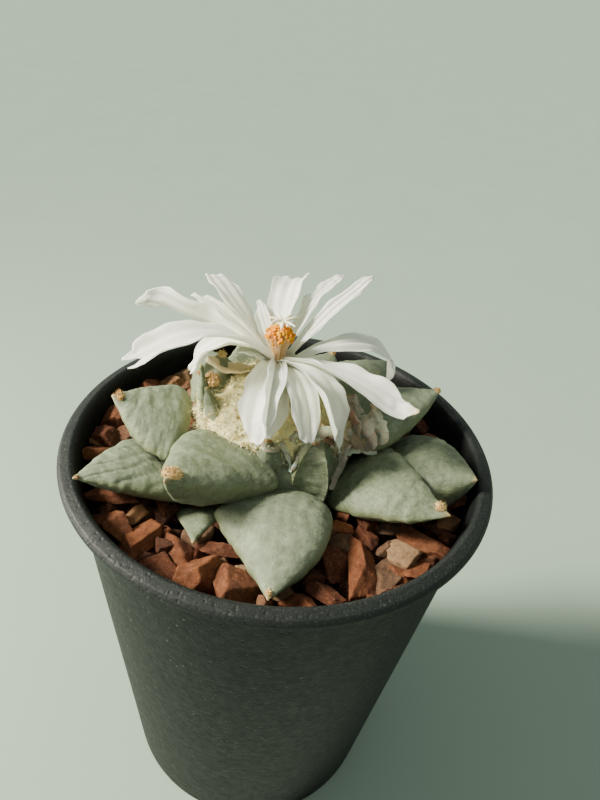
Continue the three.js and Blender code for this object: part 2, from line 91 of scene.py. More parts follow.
def place_camera():
    camera = put_in_scene("camera", bpy.data.cameras.new("camera"))
    camera.data.lens = FOCAL_PX / FRAME_PX[1] * SENSOR
    camera.data.sensor_width = SENSOR
    camera.data.clip_start = NEAREST_M
    turn = Matrix(np.stack([RIGHT, UP, -AHEAD], axis=1).tolist())
    camera.matrix_world = Matrix.Translation(Vector(EYE * MM)) @ turn.to_4x4()
    bpy.context.scene.camera = camera


# Repeatable noise

SEEDS = dict(stones=41, stamens=12, pistil=4, wool=77, areoles=9)


def lattice(cell, seed):
    """A repeatable number from 0 to 1 for each whole-number point"""
    c = cell.astype(np.uint32)
    h = c[..., 0] * np.uint32(0x8DA6B343) + c[..., 1] * np.uint32(0xD8163841)
    h = h + c[..., 2] * np.uint32(0xCB1AB31F) + np.uint32(seed * 7919 + 17)
    for shift, factor in ((15, 0x2C1B3C6D), (12, 0x297A2D39), (15, 0x85EBCA6B)):
        h = (h ^ (h >> np.uint32(shift))) * np.uint32(factor)
    return (h >> np.uint32(8)) / float(1 << 24)


def noise(points, seed):
    """Smooth noise from -1 to 1, with features about one unit across"""
    cell = np.floor(points).astype(np.int64)
    t = points - cell
    t = t * t * (3 - 2 * t)
    total = np.zeros(points.shape[:-1])
    for corner in itertools.product((0, 1), repeat=3):
        weight = np.prod(np.where(np.array(corner) == 1, t, 1 - t), axis=-1)
        total += weight * lattice(cell + np.array(corner), seed)
    return total * 2 - 1


def rough(points, seed, octaves=3):
    """Noise with finer noise added, each octave half as strong"""
    return sum(noise(points * 2**k, seed + 31 * k) / 2**k for k in range(octaves))


# Mesh tools


# The turn between neighbours that spreads points evenly over a disc or ball, in radians
GOLDEN = 2.39996
FULL_TURN = 2 * math.pi


def unit(v):
    return v / np.maximum(np.linalg.norm(v, axis=-1, keepdims=True), 1e-9)


def held(x):
    """x kept between 0 and 1"""
    return np.clip(x, 0, 1)


def round_angles(sides):
    """Evenly spaced angles round a circle"""
    return np.arange(sides) * 2 * math.pi / sides


def around(angle, radius=1.0, z=0.0):
    """The point at an angle in radians and a radius from the vertical axis"""
    return np.array([radius * math.cos(angle), radius * math.sin(angle), z])


def rings(path, radius, sideways, sides):
    """Points on a circle round each point of a path, or of many paths"""
    forward = unit(np.gradient(path, axis=-2))
    side = unit(np.cross(forward, sideways))
    other = np.cross(forward, side)
    angles = round_angles(sides)[:, None]
    ring = side[..., None, :] * np.cos(angles) + other[..., None, :] * np.sin(angles)
    return path[..., None, :] + ring * radius[..., None, None]


def spun(v, axis, angle):
    """v turned about a unit axis by an angle in radians, array by array"""
    c, s = np.cos(angle)[..., None], np.sin(angle)[..., None]
    return v * c + np.cross(axis, v) * s + axis * np.sum(axis * v, axis=-1, keepdims=True) * (1 - c)


def grid_faces(rows, columns, wrap=False):
    """Quads over a grid of points stored row by row"""
    last = columns if wrap else columns - 1
    r, c = np.meshgrid(np.arange(rows - 1), np.arange(last), indexing="ij")
    d = (c + 1) % columns
    quads = np.stack([r * columns + c, r * columns + d, (r + 1) * columns + d, (r + 1) * columns + c], -1)
    return quads.reshape(-1, 4)


def grid_normals(points, wrap):
    """Normals of a grid of points, rows first"""
    along = np.gradient(points, axis=0)
    if wrap:
        across = (np.roll(points, -1, axis=1) - np.roll(points, 1, axis=1)) / 2
    else:
        across = np.gradient(points, axis=1)
    return unit(np.cross(across, along))


def copied(faces, copies, points_each):
    """The same faces for many copies of a shape, stored one after the other"""
    start = np.arange(copies)[:, None, None] * points_each
    return (faces[None] + start).reshape(-1, faces.shape[1])


class Heap:
    """Points, faces and per-point marks that become one mesh"""

    def __init__(self):
        self.points, self.faces, self.marks, self.size = [], [], [], 0

    def add(self, points, faces, marks):
        points = np.asarray(points, float).reshape(-1, 3)
        marks = np.broadcast_to(np.asarray(marks, float), (len(points), 3))
        self.faces += [np.asarray(f) + self.size for f in faces if len(f)]
        self.points.append(points)
        self.marks.append(marks)
        self.size += len(points)

    def add_closed(self, points, marks):
        """A wrapped grid of points with a fan over each end"""
        rows, sides = points.shape[:2]
        tip, k = rows * sides, np.arange(sides)
        after = (k + 1) % sides
        low = np.stack([after, k, np.full(sides, tip)], -1)
        high = np.stack([tip - sides + k, tip - sides + after, np.full(sides, tip + 1)], -1)
        body = np.concatenate([points.reshape(-1, 3), points[:1].mean(axis=1), points[-1:].mean(axis=1)])
        marks = np.broadcast_to(np.asarray(marks, float), points.shape)
        marks = np.concatenate([marks.reshape(-1, 3), marks[:1, 0], marks[-1:, 0]])
        self.add(body, [grid_faces(rows, sides, wrap=True), low, high], marks)

    def add_sheet(self, surface, thick, marks):
        """A grid of points made into a closed sheet, with half of thick on each side"""
        rows, columns = surface.shape[:2]
        out = grid_normals(surface, wrap=False) * thick[..., None] / 2
        count, order = rows * columns, grid_faces(rows, columns)
        index = np.arange(count).reshape(rows, columns)
        rim = np.concatenate([index[0], index[1:, -1], index[-1, -2::-1], index[-2:0:-1, 0]])
        after = np.roll(rim, -1)
        wall = np.stack([rim + count, after + count, after, rim], -1)
        both = np.concatenate([(surface + out).reshape(-1, 3), (surface - out).reshape(-1, 3)])
        marks = np.broadcast_to(np.asarray(marks, float), surface.shape).reshape(-1, 3)
        self.add(both, [order, order[:, ::-1] + count, wall], np.concatenate([marks] * 2))

    def tree(self):
        """What rays can hit, in millimetres"""
        faces = [tuple(f) for block in self.faces for f in block.tolist()]
        return BVHTree.FromPolygons(np.concatenate(self.points).tolist(), faces)

    def build(self, name, material, slot, replaces=()):
        points = np.concatenate(self.points)
        loops = np.concatenate([f.reshape(-1) for f in self.faces])
        sizes = np.concatenate([np.full(len(f), f.shape[1]) for f in self.faces])
        mesh = bpy.data.meshes.new(name)
        mesh.vertices.add(len(points))
        mesh.vertices.foreach_set("co", (points * MM).astype(np.float32).reshape(-1))
        mesh.loops.add(len(loops))
        mesh.loops.foreach_set("vertex_index", loops.astype(np.int32))
        mesh.polygons.add(len(sizes))
        mesh.polygons.foreach_set("loop_start", (np.cumsum(sizes) - sizes).astype(np.int32))
        mesh.polygons.foreach_set("use_smooth", np.full(len(sizes), True))
        mesh.update(calc_edges=True)
        marks = mesh.attributes.new("marks", "FLOAT_COLOR", "POINT")
        colours = np.concatenate([np.concatenate(self.marks), np.ones((len(points), 1))], axis=1)
        marks.data.foreach_set("color", colours.astype(np.float32).reshape(-1))
        mesh.materials.append(material)
        piece = put_in_scene(name, mesh)
        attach(piece, "root")
        for node in replaces:
            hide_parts(node)
        return piece


def sphere_mesh(level):
    """Unit directions and triangles of an icosphere"""
    ball = bmesh.new()
    bmesh.ops.create_icosphere(ball, subdivisions=level, radius=1)
    points = np.array([v.co[:] for v in ball.verts])
    faces = np.array([[v.index for v in f.verts] for f in ball.faces])
    ball.free()
    return unit(points), faces


SPHERES = {level: sphere_mesh(level) for level in (1, 2, 3, 4, 5)}


def fibres(heap, bases, headings, lengths, radius, curl, rng, marks):
    """Fine curling hairs, each a closed three-sided spindle"""
    count, steps, sides = len(bases), 3, 3
    t = np.linspace(0, 1, steps + 1)
    bend = unit(rng.normal(size=(count, 3))) * curl
    sway = unit(rng.normal(size=(count, 3))) * curl * 0.5
    t3 = t[None, :, None]
    path = headings[:, None] * t3 + bend[:, None] * t3**2 + sway[:, None] * np.sin(t3 * 7)
    path = bases[:, None] + path * lengths[:, None, None]
    thick = radius * (0.35 + 0.65 * np.sin(held(t * 1.1 + 0.12) * math.pi))
    points = rings(path, thick, unit(rng.normal(size=(count, 1, 3))), sides)
    each = (steps + 1) * sides
    walls = copied(grid_faces(steps + 1, sides, wrap=True), count, each)
    ends = copied(np.array([[2, 1, 0], [each - 3, each - 2, each - 1]]), count, each)
    heap.add(points, [walls, ends], np.repeat(marks, each, axis=0))


# Materials


class Shader:
    """A node tree around one Principled shader, with short calls for the nodes that it uses"""

    def __init__(self, name, **settings):
        self.material = bpy.data.materials.new(name)
        self.material.use_nodes = True
        self.nodes = self.material.node_tree.nodes
        self.links = self.material.node_tree.links
        self.skin = self.nodes["Principled BSDF"]
        for key, value in settings.items():
            self.skin.inputs[key.replace("_", " ")].default_value = value
        self.place = self.nodes.new("ShaderNodeTexCoord").outputs["Object"]
        self.bumps = None

    def put(self, socket, value):
        if isinstance(value, bpy.types.NodeSocket):
            self.links.new(value, socket)
        else:
            socket.default_value = value

    def node(self, kind, *values):
        """A new node with its first inputs set or linked"""
        node = self.nodes.new("ShaderNode" + kind)
        for socket, value in zip(node.inputs, values):
            self.put(socket, value)
        return node

    def texture(self, kind, size, stretch=(1, 1, 1)):
        """A texture node with features about size millimetres across"""
        where = self.node("Mapping", self.place)
        where.inputs["Scale"].default_value = [s / (size * MM) for s in stretch]
        node = self.node("Tex" + kind, where.outputs["Vector"])
        node.inputs["Scale"].default_value = 1
        return node

    def noise(self, size, detail=4, roughness=0.55, distortion=0, stretch=(1, 1, 1)):
        """Noise from 0 to 1"""
        node = self.texture("Noise", size, stretch)
        for key, value in (("Detail", detail), ("Roughness", roughness), ("Distortion", distortion)):
            node.inputs[key].default_value = value
        return node.outputs["Fac"]

    def cells(self, size):
        """Distance from the middles of cells"""
        return self.texture("Voronoi", size).outputs["Distance"]

    def marks(self):
        node = self.node("Attribute")
        node.attribute_name = "marks"
        return node.outputs["Color"]

    def mark(self, channel):
        """A per-point mark, channel 0, 1 or 2"""
        return self.node("SeparateColor", self.marks()).outputs[channel]

    def maths(self, kind, a, b):
        node = self.node("Math", a, b)
        node.operation = kind
        return node.outputs[0]

    def spread(self, value, low, high, to_low=0.0, to_high=1.0):
        """value's range from low to high laid out from to_low to to_high"""
        return self.node("MapRange", value, low, high, to_low, to_high).outputs[0]

    def mix(self, factor, a, b):
        """Colour a turning into colour b as factor goes from 0 to 1"""
        node = self.node("Mix")
        node.data_type = "RGBA"
        self.put(node.inputs[0], factor)
        self.put(node.inputs[6], colour(a) if isinstance(a, tuple) else a)
        self.put(node.inputs[7], colour(b) if isinstance(b, tuple) else b)
        return node.outputs[2]

    def tint(self, base, tint, part, most):
        """base with a tint laid on it, as strong as part times most"""
        return self.mix(self.maths("MULTIPLY", part, most), base, tint)

    def speckle(self, base, tint, noise, low, high, most):
        """base with a tint laid on it where noise is high"""
        return self.mix(self.spread(noise, low, high, 0, most), base, tint)

    def bump(self, height, depth):
        """Adds relief, depth in millimetres"""
        node = self.node("Bump")
        node.inputs["Distance"].default_value = depth * MM
        self.links.new(height, node.inputs["Height"])
        if self.bumps:
            self.links.new(self.bumps, node.inputs["Normal"])
        self.bumps = node.outputs["Normal"]

    def finish(self, base, roughness):
        self.put(self.skin.inputs["Base Color"], base)
        self.put(self.skin.inputs["Roughness"], roughness)
        if self.bumps:
            self.links.new(self.bumps, self.skin.inputs["Normal"])
        return self.material


def colour(rgb):
    """A display colour from 0 to 255 as a shader's linear colour"""
    return [((c / 255 + 0.055) / 1.055) ** 2.4 if c > 10 else c / 255 / 12.92 for c in rgb] + [1]


def linear(rgb):
    """A display colour as three linear numbers for a mark"""
    return np.array(colour(rgb)[:3])


def pot_plastic():
    """Dusty black plastic. Marks: 0 worn rim, 1 painted shade inside the pot, stronger deeper down."""
    s = Shader("pot_plastic", Specular_IOR_Level=0.2)
    broad = s.noise(22, 3)
    fine = s.noise(1.6, 5, 0.65)
    base = s.mix(broad, (6, 8, 8), (10, 12, 13))
    dust = s.spread(s.noise(0.7, 6, 0.75), 0.56, 0.74)
    base = s.tint(base, (50, 55, 53), dust, 0.25)
    specks = s.spread(s.cells(2.6), 0.11, 0.05)
    base = s.tint(base, (104, 110, 104), specks, 0.5)
    scuffs = s.spread(s.noise(5, 4, 0.6, 1.5, (0.35, 0.35, 2.5)), 0.6, 0.78)
    base = s.tint(base, (60, 65, 63), scuffs, 0.14)
    base = s.tint(base, (36, 41, 39), s.mark(0), 0.6)
    grit = s.mark(0), s.spread(s.noise(0.3, 5, 0.75), 0.54, 0.74, 0, 0.32)
    base = s.tint(base, (120, 126, 118), *grit)
    # Painted shade: below the rim the inside of the pot goes near black
    base = s.mix(s.mark(1), base, (7, 8, 8))
    s.bump(fine, 0.07)
    s.bump(s.noise(0.45, 4, 0.7), 0.05)
    s.bump(s.spread(s.cells(1.1), 0.0, 0.35), 0.08)
    s.bump(s.noise(8, 2), 0.3)
    dull = s.maths("MULTIPLY", s.mark(1), 0.3)
    return s.finish(base, s.maths("ADD", s.spread(fine, 0.3, 0.75, 0.46, 0.64), dull))


def earth():
    s = Shader("potting_mix", Specular_IOR_Level=0.2)
    base = s.mix(s.noise(3, 6, 0.7), (18, 13, 10), (72, 52, 38))
    s.bump(s.noise(1.5, 6, 0.7), 0.8)
    return s.finish(base, 0.95)


def rock():
    """Crushed stone: each stone's own colour, broken up by grain, chips and dust"""
    s = Shader("crushed_stone", Specular_IOR_Level=0.28)
    own = s.marks()
    base = s.mix(s.spread(s.noise(2.2, 5, 0.6), 0.35, 0.68, 0, 0.6), own, (62, 33, 20))
    base = s.speckle(base, (168, 112, 78), s.noise(0.9, 5, 0.7), 0.52, 0.7, 0.45)
    base = s.speckle(base, (200, 162, 130), s.noise(0.28, 3, 0.6), 0.6, 0.75, 0.35)
    pits = s.spread(s.cells(0.55), 0.16, 0.06)
    base = s.tint(base, (44, 22, 14), pits, 0.6)
    s.bump(s.noise(1.1, 6, 0.75), 0.6)
    s.bump(s.noise(0.25, 4, 0.75), 0.2)
    return s.finish(base, s.spread(s.noise(1.4, 2), 0.3, 0.7, 0.72, 0.95))


def flesh():
    """Glaucous skin. Marks: 0 margins, 1 tip, 2 how much darker yellow-green is mixed in, partly the
    tubercle's own tone and partly painted shade.
    """
    s = Shader("tubercle_skin", Specular_IOR_Level=0.32, Subsurface_Weight=0.08,
               Subsurface_Scale=0.0012, Subsurface_Radius=(0.7, 1.0, 0.4))
    broad = s.noise(7, 4, 0.6)
    base = s.mix(s.spread(broad, 0.3, 0.7), (80, 89, 70), (106, 116, 92))
    # Darker yellow-green from mark 2: partly each tubercle's own tone, partly painted shade on the
    # tubercles that lie in shade
    base = s.mix(s.mark(2), base, (76, 86, 58))
    base = s.speckle(base, (132, 143, 118), s.noise(1.3, 6, 0.72), 0.4, 0.72, 0.65)
    base = s.speckle(base, (134, 124, 102), s.noise(9, 3, 0.5, 0.4), 0.62, 0.8, 0.35)
    base = s.speckle(base, (84, 94, 68), s.noise(2.4, 5, 0.7), 0.62, 0.8, 0.5)
    base = s.speckle(base, (160, 170, 146), s.noise(0.25, 3, 0.7), 0.35, 0.75, 0.3)
    base = s.tint(base, (122, 128, 82), s.mark(0), 0.45)
    base = s.mix(s.mark(1), base, (150, 132, 92))
    s.bump(s.noise(2.6, 5, 0.6, 0.6, (1, 1, 2.2)), 0.24)
    s.bump(s.noise(0.6, 5, 0.7, 0.3, (0.6, 0.6, 1.8)), 0.1)
    return s.finish(base, s.spread(s.noise(3, 4), 0.3, 0.7, 0.5, 0.68))


def wool_felt():
    """Wool. Marks: 0 how brown it is stained, 1 brown grains."""
    s = Shader("crown_wool", Specular_IOR_Level=0.15, Sheen_Weight=0.5, Subsurface_Weight=0.15,
               Subsurface_Radius=(1.0, 0.8, 0.5), Subsurface_Scale=0.001)
    base = s.mix(s.spread(s.noise(1.3, 5, 0.7), 0.28, 0.62), (252, 226, 138), (255, 248, 190))
    base = s.speckle(base, (240, 212, 146), s.noise(4, 3), 0.6, 0.85, 0.3)
    base = s.mix(s.mark(0), base, (132, 104, 68))
    base = s.tint(base, (176, 138, 84), s.mark(1), 0.6)
    s.bump(s.noise(0.45, 5, 0.75), 0.4)
    return s.finish(base, 0.95)


def tepal_skin():
    """White tepals. Marks: 0 vein strength, 1 tan stain, 2 grey-green base."""
    s = Shader("white_tepal", Specular_IOR_Level=0.35, Sheen_Weight=0.1, Subsurface_Weight=0.6,
               Subsurface_Radius=(1.0, 0.97, 0.88), Subsurface_Scale=0.001)
    base = s.mix(s.spread(s.noise(3, 4, 0.6), 0.3, 0.75), (234, 238, 218), (250, 252, 232))
    base = s.tint(base, (218, 210, 198), s.mark(0), 0.35)
    base = s.speckle(base, (212, 210, 198), s.noise(1.1, 5, 0.7), 0.6, 0.85, 0.3)
    base = s.mix(s.mark(2), base, (206, 208, 184))
    base = s.mix(s.mark(1), base, (216, 184, 138))
    s.bump(s.noise(0.5, 4, 0.6), 0.05)
    return s.finish(base, s.spread(s.noise(2, 3), 0.3, 0.7, 0.42, 0.62))


def tinted(name, grain_size, dark, relief, roughness=0.8, pale=(244, 226, 190)):
    """A skin that takes each point's own colour, broken up by grain"""
    s = Shader(name, Specular_IOR_Level=0.25, Subsurface_Weight=0.2, Subsurface_Scale=0.0005)
    base = s.mix(s.spread(s.noise(grain_size, 5, 0.7), 0.35, 0.75, 0, 0.6), s.marks(), dark)
    base = s.speckle(base, pale, s.noise(grain_size / 4, 3, 0.7), 0.6, 0.8, 0.4)
    s.bump(s.noise(grain_size / 3, 4, 0.7), relief)
    return s.finish(base, roughness)


def dry_paper():
    """Dry remains of flowers: each point's own colour, with fibres and holes of shade"""
    s = Shader("dry_remains", Specular_IOR_Level=0.2, Subsurface_Weight=0.6, Subsurface_Scale=0.0008)
    base = s.mix(s.spread(s.noise(1.2, 6, 0.75), 0.4, 0.75, 0, 0.5), s.marks(), (128, 106, 82))
    base = s.speckle(base, (226, 214, 196), s.noise(0.5, 4, 0.7), 0.58, 0.75, 0.6)
    s.bump(s.noise(0.5, 5, 0.75), 0.2)
    return s.finish(base, 0.85)


def floor_paint():
    s = Shader("pale_floor", Specular_IOR_Level=0.25)
    base = s.mix(s.noise(60, 3), (140, 158, 143), (146, 164, 149))
    s.bump(s.noise(3, 3), 0.03)
    return s.finish(base, s.spread(s.noise(40, 2), 0.3, 0.7, 0.6, 0.7))


# Pot

# rim, neck and base are outer radii of the lip and of the wall's top and foot, band is the width of the
# lip's top, and hub is where the middle of the floor begins
POT = dict(height=96.5, rim=42.5, band=2.3, lip=1.9, neck=39.9, base=31.4, wall=1.1, floor=1.6,
           foot_height=2, foot_width=3.2, foot_clear=0.02, corner=1.5, hub=6, sides=240)
# How far the wall wanders from round, over what lengths, and the heights between which it does
WOBBLE = dict(most=0.1, lengths=[16, 16, 30], low=6, high=94)
LONGEST_RUN = 3.5
# Below this height the inside of the pot is painted darker, as painted shade
SHADE_TOP = 95.7
DRAIN = dict(middle=4, radius=3, circle=19, count=6, height=2.5, depth=8, sides=40)


def inner_radius(z):
    slope = (POT["neck"] - POT["base"]) / (POT["height"] - POT["lip"] - POT["corner"])
    return POT["base"] + slope * (z - POT["corner"]) - POT["wall"]


def filleted(corners, steps=5):
    """A profile with each corner rounded: corners are (radius, height, fillet)"""
    points = []
    for i, (r, z, fillet) in enumerate(corners):
        here = np.array([r, z])
        if fillet == 0 or i in (0, len(corners) - 1):
            points.append(here)
            continue
        before = np.array(corners[i - 1][:2]) - here
        after = np.array(corners[i + 1][:2]) - here
        a = here + before * min(1, fillet / np.linalg.norm(before))
        b = here + after * min(1, fillet / np.linalg.norm(after))
        for t in np.linspace(0, 1, steps):
            points.append(a * (1 - t) ** 2 + here * 2 * t * (1 - t) + b * t**2)
    return np.array(points)


CLOSEST = 0.02


def profile(corners, longest):
    """Columns of radii and heights, with fillets, no run longer than longest and no doubled points"""
    rounded = filleted(corners)
    points = [rounded[0]]
    for b in rounded[1:]:
        a = points[-1]
        gap = np.linalg.norm(b - a)
        parts = math.ceil(gap / longest) if gap > CLOSEST else 0
        points += [a + (b - a) * (k + 1) / parts for k in range(parts)]
    return np.split(np.array(points), 2, axis=1)


def turned(r, z, angles, middle=(0, 0)):
    """Points of a turned shape, from its columns of radii and heights"""
    return np.stack([middle[0] + r * np.cos(angles), middle[1] + r * np.sin(angles), z + 0 * angles], -1)


def make_pot(material):
    top, base, neck, rim = POT["height"], POT["base"], POT["neck"], POT["rim"]
    low = top - 0.5 - POT["lip"]
    foot_height, foot_clear, hub = POT["foot_height"], POT["foot_clear"], POT["hub"]
    foot_out = base - POT["corner"]
    foot_in = foot_out - POT["foot_width"]
    floor = foot_height + POT["floor"]
    inside, band = inner_radius(floor + 1.2), rim - POT["band"]
    corners = [
        (hub, foot_height, 0), (foot_in - 0.6, foot_height, 0.4), (foot_in, foot_clear, 0.15),
        (foot_out, foot_clear, 0.2), (base - 0.2, 0.7, 0.7), (base, POT["corner"], 0.8),
        (neck - 0.1, low - 0.9, 0.5), (neck + 0.3, low - 0.15, 0.2), (rim - 0.45, low, 0.12),
        (rim, low + 0.45, 0.15), (rim, low + 1.1, 0.2), (rim - 0.55, top - 0.5, 0.25), (band, top, 0.3),
        (band - 0.75, top - 0.5, 0.35), (inner_radius(top - 2.4), top - 2.4, 0.6),
        (inside, floor + 1.2, 0.6), (inside - 1.2, floor, 0.4), (hub, floor, 0),
    ]
    r, z = profile(corners, LONGEST_RUN)
    angles = round_angles(POT["sides"])
    points = turned(r, z, angles)
    wobble = WOBBLE["most"] * noise(points / WOBBLE["lengths"], 3)
    wobble = wobble * held((z - WOBBLE["low"]) / 20) * held((WOBBLE["high"] - z) / 10)
    points[..., :2] *= 1 + (wobble / r)[..., None]
    rim_worn = held((z - low) / 1.6) * held((r - neck + 0.8) / 0.6)
    within = np.arange(len(r)) > len(r) * 0.5
    # How strongly the inside of the pot is painted with shade, growing below SHADE_TOP
    painted_inner_shade = held((SHADE_TOP - z) / 1.6) * (within[:, None] & (r < neck))
    heap = Heap()
    heap.add_closed(points, np.stack([rim_worn + 0 * angles, painted_inner_shade + 0 * angles, 0 * r * angles], -1))
    bore(heap.build("nursery_pot", material, "pot_plastic", ["pot"]))


def bore(pot):
    """Cuts the drain holes"""
    holes = bmesh.new()
    spots = [(0, 0, DRAIN["middle"])]
    for i in range(DRAIN["count"]):
        x, y, _ = around(i / DRAIN["count"] * 2 * math.pi, DRAIN["circle"])
        spots.append((x, y, DRAIN["radius"]))
    for x, y, radius in spots:
        at = Matrix.Translation((x * MM, y * MM, DRAIN["height"] * MM))
        bmesh.ops.create_cone(holes, cap_ends=True, segments=DRAIN["sides"], radius1=radius * MM,
                              radius2=radius * MM, depth=DRAIN["depth"] * MM, matrix=at)
    bmesh.ops.recalc_face_normals(holes, faces=holes.faces)
    mesh = bpy.data.meshes.new("drill")
    holes.to_mesh(mesh)
    holes.free()
    drill = put_in_scene("drill", mesh)
    cut = pot.modifiers.new("cut", "BOOLEAN")
    cut.object, cut.operation, cut.solver = drill, "DIFFERENCE", "MANIFOLD"
    bpy.context.view_layer.update()
    graph = bpy.context.evaluated_depsgraph_get()
    cut_mesh = bpy.data.meshes.new_from_object(pot.evaluated_get(graph))
    pot.modifiers.clear()
    pot.data = cut_mesh
    bpy.data.objects.remove(drill)


# Plant: a rosette of tubercles, as in the solids

CROWN = np.array([-2.0, 3.0, 0])
# What most tubercles share. Each row below adds its name, its tip's azimuth, reach and height, its root's
# reach and height, its half widths, how far it rises and hangs, and what sets it apart.
# Each tubercle's tone value mixes in a darker yellow-green: partly its own tone, partly painted shade, set
# high on the tubercles that lie in shade
USUAL = dict(swing=0, lean=0, arch=0.5, left_taper=1.5, right_taper=1.5, shoulder=0.3, olive_and_painted_shade=0.15,
             wrinkle=1.0, ripple=0, creases=0, sharp=1.33, rows=76, sides=80)
SMALL = dict(rows=40, sides=40)
HIDDEN = dict(rows=50, sides=50)
# These tubercles' tips show no wool
BALD = ("low_front", "right")
TUBERCLE_COLUMNS = "name azimuth reach tip root root_height left right top keel".split()
TUBERCLES = [{**USUAL, **dict(zip(TUBERCLE_COLUMNS, row)), **rest} for *row, rest in (
    ("front", -86, 39.8, 93.4, 16, 91.6, 9.5, 12, 4.4, 8, dict(swing=9, lean=8.5, arch=-0.6, left_taper=2.3,
          right_taper=1.1, shoulder=0.24, ripple=0.1, olive_and_painted_shade=0.05)),
    ("front_left", -119, 32.4, 105.3, 12.5, 98, 13.8, 7, 3.8, 8, dict(swing=-15, lean=-5.5, arch=1.8,
          left_taper=1, shoulder=0.2, wrinkle=1.3, olive_and_painted_shade=0.55)),
    ("left", -173, 31.7, 102.6, 17, 97.8, 12.7, 8.3, 3.2, 6, dict(lean=-3, left_taper=1.7, shoulder=0.2,
          wrinkle=1.2)),
    ("far_left", -145, 40.1, 98.4, 19.8, 90, 8.8, 10.7, 3, 4.6, dict(swing=-3, lean=4.5, arch=-1.2,
          left_taper=1.4, right_taper=1.2, creases=1, olive_and_painted_shade=0.1)),
    ("front_right", -34, 39.7, 98.6, 14, 87.5, 11.2, 6.6, 3.2, 5.2, dict(swing=5.5, lean=14, arch=-2.6,
          left_taper=1, right_taper=3.2, shoulder=0.38, wrinkle=1.2, olive_and_painted_shade=0.65)),
    ("right", -17.5, 41.3, 99, 20.3, 88.4, 13.2, 8.1, 5, 8.7, dict(swing=6, lean=7, left_taper=2,
          shoulder=0.38, olive_and_painted_shade=0.6)),
    ("back_right", 14, 35, 104.3, 11.5, 96.8, 7.9, 10.5, 4.4, 6, dict(swing=-6.5, lean=-2.7, arch=0.7,
          left_taper=1.4)),
    ("far_back_right", 42, 34, 101.5, 11, 97.5, 9.5, 9.5, 4.2, 6, {}),
    ("inner_front", -57, 16, 106.6, 15.4, 89.5, 6.6, 4.4, 4.4, 4.8, dict(lean=6, arch=-0.2, left_taper=1.4,
          right_taper=1.8, shoulder=0.4, olive_and_painted_shade=0.8, ripple=0.1, sharp=2.6)),
    ("low_front", -111, 30.8, 92, 16.6, 86.4, 2.6, 6.9, 1.3, 2.6, dict(swing=-9, lean=11.5, arch=-1,
          right_taper=1.3, olive_and_painted_shade=0.6, wrinkle=0.3)),
    ("young_spike", -172, 14.8, 110.9, 12.5, 97, 2.7, 1.4, 1.3, 1.6, dict(swing=7, arch=-0.1,
          left_taper=1.3, right_taper=1.3, olive_and_painted_shade=0.4, **SMALL)),
    ("young_low", -155, 14.2, 108.6, 11.6, 97, 3.6, 3.6, 1.4, 2, dict(arch=-0.3, olive_and_painted_shade=0.7, **SMALL)),
    ("young_tall", 172, 11.3, 111.9, 10.3, 102, 5, 5, 3, 4.3, dict(olive_and_painted_shade=0.4, **SMALL)),
    ("young_front", -92, 13.5, 103.6, 10, 96, 5, 5, 3, 4, dict(olive_and_painted_shade=0.7, **SMALL)),
    ("back", 97, 31, 100, 13, 93, 10, 10, 4, 6.5, HIDDEN),
    ("inner_back_right", 62, 24.5, 103, 12, 97, 7, 7, 3.4, 5, HIDDEN),
    ("inner_left", 150, 20, 101, 9, 96, 7.5, 7.5, 3.4, 5, HIDDEN),
    ("low_back", 78, 33, 96.5, 16, 89, 10, 10, 4, 6.5, HIDDEN),
    ("back_left", 125, 33, 96.5, 15, 90, 8.5, 9, 4, 6.5, HIDDEN),
    ("inner_back", 118, 19, 106, 11, 98, 7, 7, 3.4, 5, HIDDEN),
    ("inner_right", 20, 17.5, 107, 13, 98, 6, 6, 3, 4.5, SMALL),
)]
STEM_SIDES = 64
STEM_FILLET = 2
# The stem's radii and heights, from the taproot up
STEM = [(5, 54), (8.5, 68), (13, 79), (17, 86), (17.5, 92), (15.5, 97), (11, 101), (5, 103.4), (0.1, 104)]


def fullness(s, shoulder, taper):
    rising = 0.6 + 0.4 * np.sin(held(s / shoulder) * math.pi / 2)
    falling = 1 - held((s - shoulder) / (1 - shoulder)) ** taper
    return np.where(s < shoulder, rising, falling)


def around_crown(azimuth, radius, z):
    return CROWN + around(math.radians(azimuth), radius, z)


